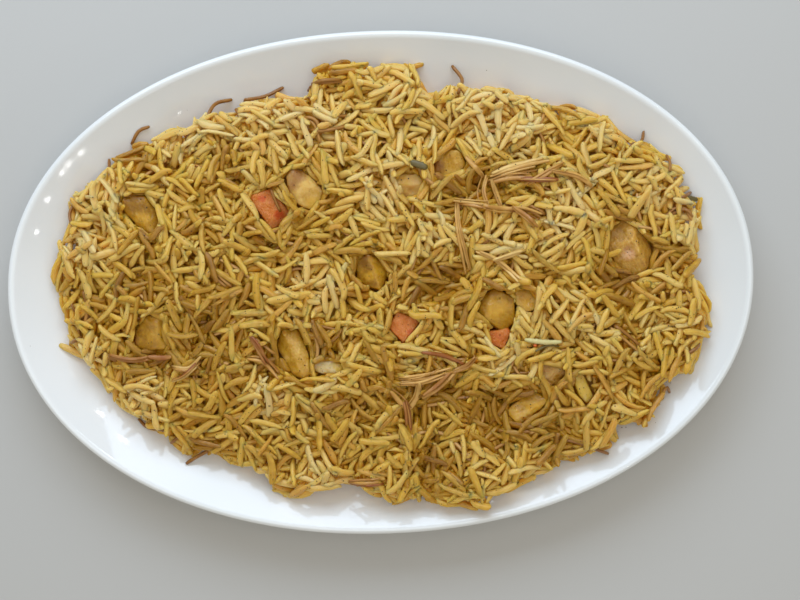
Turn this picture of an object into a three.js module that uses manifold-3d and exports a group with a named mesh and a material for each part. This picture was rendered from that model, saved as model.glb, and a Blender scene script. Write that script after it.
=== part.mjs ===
// Plate of biryani: an oval coupe platter heaped with yellow long-grain rice and vermicelli,
// with diced potato, carrot, chicken pieces and pulled chicken shreds lying in the rice.
// Millimetres, +Z up. X runs along the platter, and the origin is the middle of its foot.
import * as THREE from 'three';
import { mergeVertices } from 'three/addons/utils/BufferGeometryUtils.js';
import Module from 'manifold-3d';

const wasm = await Module();
wasm.setup();

// Platter
const PLATTER_LENGTH = 356;
const PLATTER_WIDTH = 240;
const PLATTER_HEIGHT = 27;
const OUTLINE_POWER = 2.07; // above 2 the oval is a little fuller than an ellipse
const LIP_RADIUS = 2.2;
const WALL_RUN = 46; // from the rim in to the flat well
const WALL_POWER = 1.8; // how hollow the wall is
const WELL_HEIGHT = 7.5;
const WELL_THICKNESS = 5;
const UNDERSIDE_RUN = 52;
const FOOT_INSET = 60;
const FOOT_WIDTH = 5;
const FOOT_TAPER = 1;
const FOOT_RECESS = 1.5;
const PLATTER_SEGMENTS = 60;

// Rice heap
const HEAP_HALF_LENGTH = 155;
const HEAP_HALF_WIDTH = 101;
const CROWN = 22; // rice over the well at the middle
const RICE_EDGE = 2.4; // rice over the platter at the outline
const SHOULDER_POWER = 4;
const SHOULDER_FALL = 0.6;
const LUMP_HEIGHT = 0.9;
const LUMP_LENGTH = 21;
const DISH_GAP = 0.6; // rice to glaze, which covers the facets of both
const HEAP_SEGMENTS = 40;
// How far the outline stands out from the plain oval: [degrees round the oval, millimetres]
const BULGES = [
  [0, 4], [24, 10], [45, 4], [62, -1], [74, -4], [82, 2.5], [90, 3.5], [99, 6], [104, -3.5],
  [124, -2], [144, 4.5], [168, 5], [197, 0], [219, -1], [244, -2], [253, 3], [263, 0], [270, 5],
  [287, 12], [298, 6.5], [317, 11], [334, 10.5], [360, 4],
];

// Rice grains that stand out of the heap
const GRAIN_LENGTH = 12.5;
const GRAIN_WIDTH = 4.2; // at its sunk base, which makes 2.8 mm where it leaves the heap
const GRAIN_RIDGE = 2;
const GRAIN_SINK = 1;
const GRAIN_SHOULDER = 0.66; // length of the ridge over that of the base
const GRAIN_TILT = 0.9;
const TOP_GRAINS = 270;
const TOP_GRAIN_REACH = 0.95; // share of the way to the outline
const EDGE_GRAINS = 60;
const EDGE_GRAIN_TURN = 1.1;
const EDGE_GRAIN_RISE = 1.5;
const GOLDEN_ANGLE = Math.PI * (3 - Math.sqrt(5));

// Vermicelli that sticks out past the rice, each from inside the heap to its tip: [x, y]
const STRAND_RADIUS = 0.9;
const STRAND_SIDES = 4;
const STRAND_STEPS = 6;
const STRAND_SINK = 1.6;
const STRANDS = [
  [[-112, 62], [-118, 72], [-116, 79], [-109, 82]],
  [[-82, 70], [-81, 81], [-77, 91], [-69, 94]],
  [[-40, 90], [-45, 98], [-54, 93], [-65, 92]],
  [[48, 80], [45, 90], [43, 102], [37, 107]],
  [[64, 74], [63, 82], [60, 89], [56, 93]],
  [[119, 57], [125, 63], [130, 67], [132, 74]],
  [[132, 43], [138, 48], [142, 54], [144, 61]],
  [[130, 28], [141, 33], [149, 37], [156, 40]],
  [[-128, 42], [-139, 45], [-148, 41], [-152, 31]],
  [[-94, -61], [-102, -67], [-113, -68], [-123, -62]],
  [[-78, -70], [-84, -77], [-91, -80], [-99, -86]],
  [[136, -37], [145, -39], [152, -37], [160, -33]],
  [[134, -48], [139, -56], [133, -62], [123, -58]],
  [[86, -74], [94, -80], [101, -83], [110, -88]],
];

// Pieces that lie in the rice
const POCKET_GAP = 0.5;
const POCKET_SIDES = 12;
const POCKET_HEADROOM = 30;
const CHUNK_SIDES = 8;
const CHUNK_LEVELS = 4;
const CHUNK_UNEVEN = 0.1;
const CHUNKS = [
  { name: 'potato_1', at: [-34.6, 44.8], length: 23, width: 15.5, height: 13, rise: 4.5, turn: -58, power: 3 },
  { name: 'potato_2', at: [-113, 36], length: 20, width: 15.5, height: 12, rise: 3, turn: -55, power: 3 },
  { name: 'potato_3', at: [-4.8, 5], length: 17, width: 15, height: 12, rise: 3, turn: -60, power: 2.6 },
  { name: 'potato_4', at: [15.4, 45.4], length: 14.5, width: 11, height: 10, rise: 3, turn: 8, power: 3 },
  { name: 'potato_5', at: [34.8, 55.1], length: 15, width: 12, height: 11, rise: 3, turn: 25, power: 3 },
  { name: 'potato_6', at: [54.1, -14.2], length: 18, width: 16.5, height: 13, rise: 4.5, turn: -45, power: 2.6 },
  { name: 'potato_7', at: [69.4, -12], length: 9, width: 9, height: 8, rise: 3, turn: 20, power: 3 },
  { name: 'potato_8', at: [-109.7, -19.8], length: 16, width: 14, height: 12, rise: 3.5, turn: 88, power: 3.6 },
  { name: 'potato_9', at: [-41.4, -32.6], length: 24, width: 11.5, height: 11, rise: 4, turn: -70, power: 3 },
  { name: 'potato_10', at: [67.5, -63], length: 18, width: 12.5, height: 11, rise: 3.5, turn: 30, power: 2.8 },
  { name: 'carrot_1', at: [-51.9, 36.7], length: 17.5, width: 13, height: 11, rise: 3.5, turn: -59, power: 5 },
  { name: 'carrot_2', at: [10.9, -21.6], length: 14.5, width: 13, height: 11, rise: 3, turn: -25, power: 4 },
  { name: 'carrot_3', at: [56.3, -30], length: 9.5, width: 7.5, height: 9, rise: 2, turn: -50, power: 3.6 },
  { name: 'chicken_chunk', at: [120.2, 11.9], length: 27, width: 19, height: 13, rise: 4, turn: -60, power: 2.8 },
  { name: 'chicken_bit', at: [80.8, -46.7], length: 11, width: 9.5, height: 8, rise: 3, turn: -20, power: 2.6 },
  { name: 'onion_piece', at: [-25.1, -39], length: 15.5, width: 6.5, height: 6, rise: 2.5, turn: -5, power: 2.6 },
  { name: 'split_kernel', at: [95.1, -53.4], length: 16, width: 8, height: 6, rise: 3, turn: -65, power: 2.3 },
];

// Pulled chicken: each strip runs through three points, and the strips of a bundle share a root
const SHRED_THICKNESS = 1.1;
const SHRED_GAP = 0.35;
const SHRED_STEPS = 3;
const SHRED_STEP_UP = 0.12; // each strip of a bundle lies a little over the one before
const SHRED_TAPER = [0.6, 1, 1, 0.5];
const SHREDS = {
  chicken_shreds_1: [
    { route: [[52.9, 48.2], [64.9, 52], [81.9, 55.2]], width: 2.8 },
    { route: [[52.5, 45.6], [64.8, 49.2], [78, 51.5]], width: 2.2 },
    { route: [[52, 44.2], [62, 46.8], [75, 46.2]], width: 2 },
    { route: [[69.5, 43], [80.5, 49], [90, 53.2]], width: 2.2 },
    { route: [[66, 46], [76, 45], [85.5, 45.2]], width: 2 },
    { route: [[81, 49.2], [93.8, 46.5], [102.6, 41]], width: 2 },
    { route: [[51.6, 46.6], [60.9, 55.3], [78, 57.6]], width: 2 },
    { route: [[52, 48.5], [50.3, 41], [51.5, 33]], width: 2.4 },
    { route: [[53.8, 46.5], [55.8, 39.8], [58.8, 31.5]], width: 2 },
    { route: [[35.5, 36.5], [44, 34.6], [53, 32.6]], width: 2.2 },
    { route: [[48, 33.6], [57, 32.4], [66, 31.9]], width: 2 },
    { route: [[62, 32.6], [70, 31.2], [77.6, 27.9]], width: 2.2 },
    { route: [[63, 33], [68.6, 28.6], [74.9, 22.5]], width: 1.6 },
    { route: [[37.2, 37.2], [37.3, 22], [42.3, -1.8]], width: 2.8 },
  ],
  chicken_shreds_2: [
    { route: [[45.4, 12.9], [55.4, 7.2], [65.9, -2.6]], width: 2.4 },
    { route: [[53, 8.2], [60.7, 10.3], [67.8, 12.1]], width: 1.8 },
  ],
  chicken_shreds_3: [
    { route: [[6.3, -45.7], [20.5, -45], [34.4, -41.9]], width: 2.6 },
    { route: [[6.6, -48.3], [18.4, -47.8], [32, -43.4]], width: 2.2 },
    { route: [[17.3, -55], [25, -50.8], [34, -42.4]], width: 3 },
    { route: [[32.2, -43.4], [39, -41.1], [43.6, -36.1]], width: 2.2 },
    { route: [[17.4, -33.5], [28.5, -36.2], [39.5, -40.4]], width: 1.8 },
    { route: [[16.6, -48.2], [14.8, -55.4], [10.7, -62.5]], width: 2 },
    { route: [[2.6, -51.1], [6.7, -55.8], [10.6, -61.5]], width: 2 },
    { route: [[9.5, -56.7], [10.4, -62.9], [10.9, -70.5]], width: 3 },
  ],
  chicken_shreds_4: [
    { route: [[-131.5, -29.8], [-118.6, -32.6], [-106.3, -31]], width: 2.6 },
    { route: [[-112, -31.2], [-105, -32.2], [-99.5, -31.8]], width: 2 },
  ],
  chicken_shreds_5: [
    { route: [[-101, -36.8], [-91.6, -38.3], [-84.6, -32.6]], width: 3 },
    { route: [[-100.5, -43.3], [-93.8, -40.6], [-87, -35.4]], width: 2.2 },
  ],
  chicken_shreds_6: [
    { route: [[-63.6, -33.2], [-55.6, -35.2], [-48.6, -43.6]], width: 3 },
    { route: [[-62.2, -23], [-58.6, -29], [-53.6, -37.4]], width: 2.6 },
  ],
  chicken_shreds_7: [
    { route: [[-18.6, -94.4], [-10.6, -94.6], [-1.3, -94]], width: 3.4 },
  ],
};

const FINISHES = {
  glaze: new THREE.MeshStandardMaterial({ color: 0xeef2f4, roughness: 0.12, metalness: 0 }),
  rice: new THREE.MeshStandardMaterial({ color: 0xc39a4c, roughness: 0.5, metalness: 0 }),
  potato: new THREE.MeshStandardMaterial({ color: 0xc0974c, roughness: 0.45, metalness: 0 }),
  carrot: new THREE.MeshStandardMaterial({ color: 0xcc6f3d, roughness: 0.4, metalness: 0 }),
  chicken: new THREE.MeshStandardMaterial({ color: 0xb58a52, roughness: 0.5, metalness: 0 }),
  onion: new THREE.MeshStandardMaterial({ color: 0xc4ad6c, roughness: 0.35, metalness: 0 }),
};

const lerp = THREE.MathUtils.lerp;
const radians = THREE.MathUtils.degToRad;

// A repeatable stream of numbers from 0 to 1
function seededRandom(seed) {
  let state = seed;
  return () => {
    state = (state * 1664525 + 1013904223) % 4294967296;
    return state / 4294967296;
  };
}

function signedPower(value, power) {
  return Math.sign(value) * Math.abs(value) ** power;
}

// A point of a superellipse, which is an oval with fuller or squarer shoulders
function ovalPoint(angle, halfLength, halfWidth, power) {
  return [
    halfLength * signedPower(Math.cos(angle), 2 / power),
    halfWidth * signedPower(Math.sin(angle), 2 / power),
  ];
}

// How far a point lies in from the platter's rim
function insetOf(x, y) {
  let near = 0;
  let far = PLATTER_WIDTH / 2 - 1;
  for (let step = 0; step < 24; step += 1) {
    const inset = (near + far) / 2;
    const reach =
      Math.abs(x / (PLATTER_LENGTH / 2 - inset)) ** OUTLINE_POWER +
      Math.abs(y / (PLATTER_WIDTH / 2 - inset)) ** OUTLINE_POWER;
    if (reach < 1) near = inset;
    else far = inset;
  }
  return near;
}

// The wall's height as a share of its full rise
function wallShare(inset, run) {
  const along = THREE.MathUtils.clamp((inset - LIP_RADIUS) / (run - LIP_RADIUS), 0, 1);
  return (1 - along) ** WALL_POWER;
}

function dishHeight(x, y) {
  return lerp(WELL_HEIGHT, PLATTER_HEIGHT, wallShare(insetOf(x, y), WALL_RUN));
}

// Solids and meshes
function toSolid(geometry) {
  geometry.deleteAttribute('normal');
  geometry.deleteAttribute('uv');
  const merged = mergeVertices(geometry, 1e-4);
  return new wasm.Manifold(new wasm.Mesh({
    numProp: 3,
    vertProperties: new Float32Array(merged.attributes.position.array),
    triVerts: new Uint32Array(merged.index.array),
  }));
}

function toGeometry(solid) {
  const mesh = solid.getMesh();
  const geometry = new THREE.BufferGeometry();
  geometry.setAttribute('position', new THREE.BufferAttribute(mesh.vertProperties, 3));
  geometry.setIndex(new THREE.BufferAttribute(mesh.triVerts, 1));
  return geometry;
}

// Calls reshape with each corner, after the corners that coincide are made one
function reshaped(geometry, reshape) {
  geometry.deleteAttribute('normal');
  geometry.deleteAttribute('uv');
  const merged = mergeVertices(geometry, 1e-4);
  const corner = new THREE.Vector3();
  for (let index = 0; index < merged.attributes.position.count; index += 1) {
    corner.fromBufferAttribute(merged.attributes.position, index);
    reshape(corner);
    merged.attributes.position.setXYZ(index, corner.x, corner.y, corner.z);
  }
  return merged;
}

// Turns a profile of [radius, height] about Z
function turned(profile, segments) {
  const points = profile.map(([radius, height]) => new THREE.Vector2(radius, height));
  return new THREE.LatheGeometry(points, segments).rotateX(Math.PI / 2);
}

function platterGeometry() {
  const rim = PLATTER_LENGTH / 2;
  const underside = WELL_HEIGHT - WELL_THICKNESS;
  const profile = [
    [0, FOOT_RECESS],
    [rim - FOOT_INSET - FOOT_WIDTH, FOOT_RECESS],
    [rim - FOOT_INSET - FOOT_WIDTH, 0],
    [rim - FOOT_INSET, 0],
    [rim - FOOT_INSET + FOOT_TAPER, underside],
  ];
  for (const inset of [UNDERSIDE_RUN, 34, 18, LIP_RADIUS]) {
    const share = wallShare(inset, UNDERSIDE_RUN);
    profile.push([rim - inset, lerp(underside, PLATTER_HEIGHT - 2 * LIP_RADIUS, share)]);
  }
  for (const degrees of [-45, 0, 45]) {
    const angle = radians(degrees);
    profile.push([
      rim - LIP_RADIUS + LIP_RADIUS * Math.cos(angle),
      PLATTER_HEIGHT - LIP_RADIUS + LIP_RADIUS * Math.sin(angle),
    ]);
  }
  for (const inset of [LIP_RADIUS, 8, 16, 26, 36, WALL_RUN]) {
    profile.push([rim - inset, lerp(WELL_HEIGHT, PLATTER_HEIGHT, wallShare(inset, WALL_RUN))]);
  }
  profile.push([0, WELL_HEIGHT]);
  return reshaped(turned(profile, PLATTER_SEGMENTS), (corner) => {
    const radius = Math.hypot(corner.x, corner.y);
    if (radius < 1) return;
    const angle = Math.atan2(corner.y, corner.x);
    const inset = rim - radius;
    const [x, y] = ovalPoint(angle, rim - inset, PLATTER_WIDTH / 2 - inset, OUTLINE_POWER);
    corner.x = x;
    corner.y = y;
  });
}

// How much larger the rice's outline is than the plain oval, round the oval
function outlineScale(angle) {
  const degrees = THREE.MathUtils.euclideanModulo(THREE.MathUtils.radToDeg(angle), 360);
  const next = Math.max(1, BULGES.findIndex(([at]) => at >= degrees));
  const [from, fromBulge] = BULGES[next - 1];
  const [to, toBulge] = BULGES[next];
  const share = THREE.MathUtils.smoothstep(degrees, from, to);
  const plain = Math.hypot(HEAP_HALF_LENGTH * Math.cos(angle), HEAP_HALF_WIDTH * Math.sin(angle));
  return 1 + lerp(fromBulge, toBulge, share) / plain;
}

function heapPoint(angle, share) {
  const reach = share * outlineScale(angle);
  return [reach * HEAP_HALF_LENGTH * Math.cos(angle), reach * HEAP_HALF_WIDTH * Math.sin(angle)];
}

// 0 at the middle of the heap and 1 on its outline
function heapShare(x, y) {
  const angle = Math.atan2(y / HEAP_HALF_WIDTH, x / HEAP_HALF_LENGTH);
  return Math.hypot(x / HEAP_HALF_LENGTH, y / HEAP_HALF_WIDTH) / outlineScale(angle);
}

function domeHeight(x, y) {
  const share = Math.min(heapShare(x, y), 1);
  const fullness = (1 - share ** SHOULDER_POWER) ** SHOULDER_FALL;
  const lump = LUMP_HEIGHT * Math.sin(x / LUMP_LENGTH) * Math.cos(y / LUMP_LENGTH);
  return dishHeight(x, y) + lerp(RICE_EDGE, CROWN, fullness) + lump * fullness;
}

function heapCore() {
  const under = [0, 0.6, 0.8, 0.9, 1];
  const over = [1, 0.96, 0.88, 0.75, 0.55, 0.3, 0];
  const profile = [...under.map((share) => [share, 0]), ...over.map((share) => [share, 1])];
  return reshaped(turned(profile, HEAP_SEGMENTS), (corner) => {
    const angle = Math.atan2(corner.y, corner.x);
    const [x, y] = heapPoint(angle, Math.hypot(corner.x, corner.y));
    corner.z = corner.z < 0.5 ? dishHeight(x, y) + DISH_GAP : domeHeight(x, y);
    corner.x = x;
    corner.y = y;
  });
}

const coreMesh = new THREE.Mesh(heapCore(), new THREE.MeshBasicMaterial());
const probe = new THREE.Raycaster();

// The bare core's own height, or the platter's where there is no rice
function surfaceHeight(x, y) {
  probe.set(new THREE.Vector3(x, y, 2 * PLATTER_HEIGHT + CROWN), new THREE.Vector3(0, 0, -1));
  const hits = probe.intersectObject(coreMesh);
  return hits.length > 0 ? hits[0].point.z : dishHeight(x, y);
}

// Where a chunk or a shred lies, with a margin round it
function overTopping(x, y, margin) {
  for (const chunk of CHUNKS) {
    const turn = radians(chunk.turn);
    const dx = x - chunk.at[0];
    const dy = y - chunk.at[1];
    const along = dx * Math.cos(turn) + dy * Math.sin(turn);
    const across = dy * Math.cos(turn) - dx * Math.sin(turn);
    const reach =
      Math.abs(along / (chunk.length / 2 + margin)) ** chunk.power +
      Math.abs(across / (chunk.width / 2 + margin)) ** chunk.power;
    if (reach < 1) return true;
  }
  for (const strip of Object.values(SHREDS).flat()) {
    for (const point of shredCurve(strip.route).getPoints(4 * SHRED_STEPS)) {
      if (Math.hypot(point.x - x, point.y - y) < strip.width / 2 + margin) return true;
    }
  }
  return false;
}

// A grain between two points: a hipped ridge over a flat base that is sunk in the rice
function grainSolid(from, to) {
  const axis = new THREE.Vector3().subVectors(to, from);
  const length = axis.length();
  axis.normalize();
  const side = new THREE.Vector3().crossVectors(axis, new THREE.Vector3(0, 0, 1)).normalize();
  const up = new THREE.Vector3().crossVectors(side, axis);
  const section = new THREE.Shape();
  section.moveTo(-GRAIN_WIDTH / 2, -GRAIN_SINK);
  section.lineTo(GRAIN_WIDTH / 2, -GRAIN_SINK);
  section.lineTo(0, GRAIN_RIDGE);
  section.closePath();
  const wedge = new THREE.ExtrudeGeometry(section, { depth: 1, bevelEnabled: false });
  const grain = reshaped(wedge, (corner) => {
    const reach = corner.y > 0 ? GRAIN_SHOULDER : 1;
    corner.z = (corner.z - 0.5) * reach * length;
  });
  const place = new THREE.Matrix4().makeBasis(side.negate(), up, axis);
  place.setPosition(new THREE.Vector3().addVectors(from, to).multiplyScalar(0.5));
  return toSolid(grain.applyMatrix4(place));
}

function crossesTopping(from, to) {
  return [0, 0.25, 0.5, 0.75, 1].some((share) => {
    const point = new THREE.Vector3().lerpVectors(from, to, share);
    return overTopping(point.x, point.y, GRAIN_WIDTH / 2 + POCKET_GAP);
  });
}

// Grains lie on the bare core, evenly spread, and none crosses a topping
function topGrains() {
  const random = seededRandom(11);
  const grains = [];
  for (let index = 0; index < TOP_GRAINS; index += 1) {
    const share = Math.sqrt((index + random()) / TOP_GRAINS) * TOP_GRAIN_REACH;
    const [x, y] = heapPoint(index * GOLDEN_ANGLE, share);
    const turn = random() * Math.PI;
    const half = (GRAIN_LENGTH / 2) * lerp(0.82, 1.1, random());
    const tilt = GRAIN_TILT * (random() - 0.5);
    const ends = [-half, half].map((offset) => {
      const endX = x + offset * Math.cos(turn);
      const endY = y + offset * Math.sin(turn);
      const lift = Math.sign(offset) * tilt;
      return new THREE.Vector3(endX, endY, surfaceHeight(endX, endY) + lift);
    });
    if (!crossesTopping(...ends)) grains.push(grainSolid(...ends));
  }
  return grains;
}

// The lowest height at which the end of a grain clears the platter
function grainRest(x, y, turn) {
  const corners = [-GRAIN_WIDTH / 2, 0, GRAIN_WIDTH / 2].map(
    (across) => dishHeight(x - across * Math.sin(turn), y + across * Math.cos(turn)),
  );
  return Math.max(...corners) + GRAIN_SINK + DISH_GAP;
}

// Grains that stick out of the outline over the platter
function edgeGrains() {
  const random = seededRandom(23);
  const grains = [];
  for (let index = 0; index < EDGE_GRAINS; index += 1) {
    const angle = ((index + 0.6 * random()) / EDGE_GRAINS) * 2 * Math.PI;
    const [x, y] = heapPoint(angle, 0.99);
    const turn = Math.atan2(y, x) + EDGE_GRAIN_TURN * (2 * random() - 1);
    const half = (GRAIN_LENGTH / 2) * lerp(0.8, 1.05, random());
    const outer = [x + half * Math.cos(turn), y + half * Math.sin(turn)];
    const inner = [x - half * Math.cos(turn), y - half * Math.sin(turn)];
    const low = grainRest(...outer, turn) + EDGE_GRAIN_RISE * random();
    const high = Math.max(surfaceHeight(...inner) - GRAIN_RIDGE, grainRest(...inner, turn));
    const ends = [new THREE.Vector3(...inner, high), new THREE.Vector3(...outer, low)];
    if (!crossesTopping(...ends)) grains.push(grainSolid(...ends));
  }
  return grains;
}

function strandSolid(route) {
  const points = route.map(([x, y], index) => {
    const rest = dishHeight(x, y) + RICE_EDGE + STRAND_RADIUS;
    const height = index === 0 ? surfaceHeight(x, y) - STRAND_SINK : Math.max(surfaceHeight(x, y), rest);
    return new THREE.Vector3(x, y, height);
  });
  const section = new THREE.Shape();
  for (let side = 0; side < STRAND_SIDES; side += 1) {
    const angle = (side / STRAND_SIDES) * 2 * Math.PI;
    const corner = [STRAND_RADIUS * Math.cos(angle), STRAND_RADIUS * Math.sin(angle)];
    if (side === 0) section.moveTo(...corner);
    else section.lineTo(...corner);
  }
  section.closePath();
  return toSolid(new THREE.ExtrudeGeometry(section, {
    steps: STRAND_STEPS,
    bevelEnabled: false,
    extrudePath: new THREE.CatmullRomCurve3(points),
  }));
}

// An upright space round a chunk, open above the rice
function pocketSolid(chunk) {
  const outline = new THREE.Shape();
  for (let side = 0; side < POCKET_SIDES; side += 1) {
    const angle = (side / POCKET_SIDES) * 2 * Math.PI;
    const corner = ovalPoint(angle, chunk.length / 2 + POCKET_GAP, chunk.width / 2 + POCKET_GAP, chunk.power);
    if (side === 0) outline.moveTo(...corner);
    else outline.lineTo(...corner);
  }
  outline.closePath();
  const geometry = new THREE.ExtrudeGeometry(outline, { depth: POCKET_HEADROOM, bevelEnabled: false });
  geometry.rotateZ(radians(chunk.turn));
  geometry.translate(...chunk.at, chunkBase(chunk) - POCKET_GAP);
  return toSolid(geometry);
}

function heapSolid() {
  let heap = toSolid(heapCore());
  for (const grain of [...topGrains(), ...edgeGrains()]) heap = heap.add(grain);
  for (const route of STRANDS) heap = heap.add(strandSolid(route));
  for (const chunk of CHUNKS) heap = heap.subtract(pocketSolid(chunk));
  return heap;
}

function chunkBase(chunk) {
  return surfaceHeight(...chunk.at) + chunk.rise - chunk.height;
}

// A diced piece: a rounded block, cut a little unevenly
function chunkGeometry(chunk, seed) {
  const random = seededRandom(101 + seed);
  const block = new THREE.SphereGeometry(1, CHUNK_SIDES, CHUNK_LEVELS).rotateX(Math.PI / 2);
  const geometry = reshaped(block, (corner) => {
    const angle = Math.atan2(corner.y, corner.x);
    const around = Math.min(1, Math.hypot(corner.x, corner.y)) ** (2 / chunk.power);
    const shrink = 1 - CHUNK_UNEVEN * random();
    const [x, y] = ovalPoint(angle, chunk.length / 2, chunk.width / 2, chunk.power);
    corner.set(x * around * shrink, y * around * shrink, 0.5 * chunk.height * signedPower(corner.z, 0.6));
    corner.z += 0.5 * chunk.height;
  });
  geometry.rotateZ(radians(chunk.turn));
  return geometry;
}

function shredCurve(route) {
  const [from, via, to] = route.map(([x, y]) => new THREE.Vector2(x, y));
  const middle = new THREE.Vector2().addVectors(from, to).multiplyScalar(0.5);
  return new THREE.QuadraticBezierCurve(from, via.multiplyScalar(2).sub(middle), to);
}

// A flat strip that follows the bare core
function stripSolid({ route, width }, level) {
  const curve = shredCurve(route);
  const block = new THREE.BoxGeometry(1, 1, 1, SHRED_STEPS, 1, 1);
  return toSolid(reshaped(block, (corner) => {
    const step = Math.round((corner.x + 0.5) * SHRED_STEPS);
    const point = curve.getPoint(step / SHRED_STEPS);
    const tangent = curve.getTangent(step / SHRED_STEPS);
    const sideways = corner.y * width * SHRED_TAPER[step];
    const edges = [-0.5, 0, 0.5].map((across) => surfaceHeight(
      point.x - across * width * tangent.y,
      point.y + across * width * tangent.x,
    ));
    const base = Math.max(...edges) + SHRED_GAP + level * SHRED_STEP_UP;
    corner.set(
      point.x - sideways * tangent.y,
      point.y + sideways * tangent.x,
      base + (corner.z + 0.5) * SHRED_THICKNESS,
    );
  }));
}

function shredBundle(strips) {
  return strips.map(stripSolid).reduce((bundle, strip) => bundle.add(strip));
}

const plate = new THREE.Group();

function addNode(name, geometry, finish) {
  const node = new THREE.Mesh(geometry, finish);
  node.name = name;
  plate.add(node);
  return node;
}

function chunkFinish(name) {
  if (name.startsWith('potato')) return FINISHES.potato;
  if (name.startsWith('carrot')) return FINISHES.carrot;
  return name.startsWith('chicken') ? FINISHES.chicken : FINISHES.onion;
}

addNode('platter', platterGeometry(), FINISHES.glaze);
addNode('rice_heap', toGeometry(heapSolid()), FINISHES.rice);
CHUNKS.forEach((chunk, index) => {
  const node = addNode(chunk.name, chunkGeometry(chunk, index), chunkFinish(chunk.name));
  node.position.set(...chunk.at, chunkBase(chunk));
});
for (const [name, strips] of Object.entries(SHREDS)) {
  addNode(name, toGeometry(shredBundle(strips)), FINISHES.chicken);
}

export default plate;
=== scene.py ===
"""The looks of a plate of biryani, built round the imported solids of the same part.

A white glazed oval platter carries a heap of yellow long-grain rice and thin vermicelli.
Diced potato and carrot, chicken pieces and pulled chicken shreds lie in the rice.
Shapes are worked out in millimetres in the frame of the solids and stored in metres.
"""

import logging
import math
from dataclasses import dataclass, field
from enum import Enum
from typing import NamedTuple, Callable

import bmesh
import bpy
import numpy as np
from mathutils import Matrix, Vector


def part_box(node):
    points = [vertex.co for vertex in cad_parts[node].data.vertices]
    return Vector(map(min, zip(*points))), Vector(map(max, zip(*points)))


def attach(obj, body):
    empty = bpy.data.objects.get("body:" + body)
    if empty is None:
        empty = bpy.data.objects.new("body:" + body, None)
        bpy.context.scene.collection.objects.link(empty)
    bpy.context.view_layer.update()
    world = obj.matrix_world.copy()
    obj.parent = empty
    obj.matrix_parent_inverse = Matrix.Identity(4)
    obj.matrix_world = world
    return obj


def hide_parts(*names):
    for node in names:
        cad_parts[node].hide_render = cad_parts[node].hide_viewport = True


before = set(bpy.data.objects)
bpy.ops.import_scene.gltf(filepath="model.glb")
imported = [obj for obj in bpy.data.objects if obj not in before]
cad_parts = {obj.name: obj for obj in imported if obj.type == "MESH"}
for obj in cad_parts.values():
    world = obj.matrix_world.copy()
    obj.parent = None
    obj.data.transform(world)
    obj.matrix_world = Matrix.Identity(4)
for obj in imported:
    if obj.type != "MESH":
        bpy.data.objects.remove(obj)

LOG = logging.getLogger("plate_of_biryani")
MILLIMETRE = 0.001
DICE_SEED, SHRED_SEED, SCRAP_SEED = 300, 800, 900
GRAIN_STATIONS = (-0.97, -0.85, -0.52, 0.0, 0.52, 0.85, 0.97)
Array = np.ndarray
Colour = tuple[float, float, float, float]
Route = tuple[tuple[float, float], ...]
Socket = bpy.types.NodeSocket


class RiceKind(Enum):
    """The shades that the rice comes in."""

    SAFFRON = "rice_saffron"
    GOLD = "rice_gold"
    PALE = "rice_pale"
    BROWNED = "rice_browned"


class DiceKind(Enum):
    """What a diced or torn piece is made of."""

    POTATO = "potato"
    CARROT = "carrot"
    CHICKEN = "chicken"
    ONION = "onion"


@dataclass(frozen=True)
class DishForm:
    """Sizes of the platter in millimetres."""

    length: float = 356.0
    width: float = 240.0
    height: float = 27.0
    outline_power: float = 2.07
    lip_radius: float = 2.2
    wall_run: float = 46.0
    wall_power: float = 1.8
    well_height: float = 7.5
    well_thickness: float = 5.0
    underside_run: float = 52.0
    foot_inset: float = 60.0
    foot_width: float = 5.0
    foot_taper: float = 1.0
    foot_recess: float = 1.5

    def inset(self, x: Array, y: Array) -> Array:
        """Finds how far points lie in from the rim.

        Args:
            x: Places along the platter.
            y: Places across the platter.

        Returns:
            The inset of each point.
        """
        near = np.zeros(np.broadcast(x, y).shape)
        far = np.full_like(near, self.width / 2 - 1)
        for _ in range(22):
            middle = (near + far) / 2
            reach = np.abs(x / (self.length / 2 - middle)) ** self.outline_power
            reach = reach + np.abs(y / (self.width / 2 - middle)) ** self.outline_power
            inside = reach < 1
            near = np.where(inside, middle, near)
            far = np.where(inside, far, middle)
        return near

    def wall_share(self, inset: Array, run: float) -> Array:
        """Gives the wall's height as a share of its full rise.

        Args:
            inset: Distance in from the rim.
            run: Distance from the rim to the wall's end.

        Returns:
            The share, 1 at the lip and 0 at the wall's end.
        """
        along = np.clip((inset - self.lip_radius) / (run - self.lip_radius), 0, 1)
        return (1 - along) ** self.wall_power

    def inner(self, x: Array, y: Array) -> Array:
        """Gives the height of the glaze under points of the platter.

        Args:
            x: Places along the platter.
            y: Places across the platter.

        Returns:
            The height of the inner surface.
        """
        share = self.wall_share(self.inset(x, y), self.wall_run)
        return self.well_height + (self.height - self.well_height) * share


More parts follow.
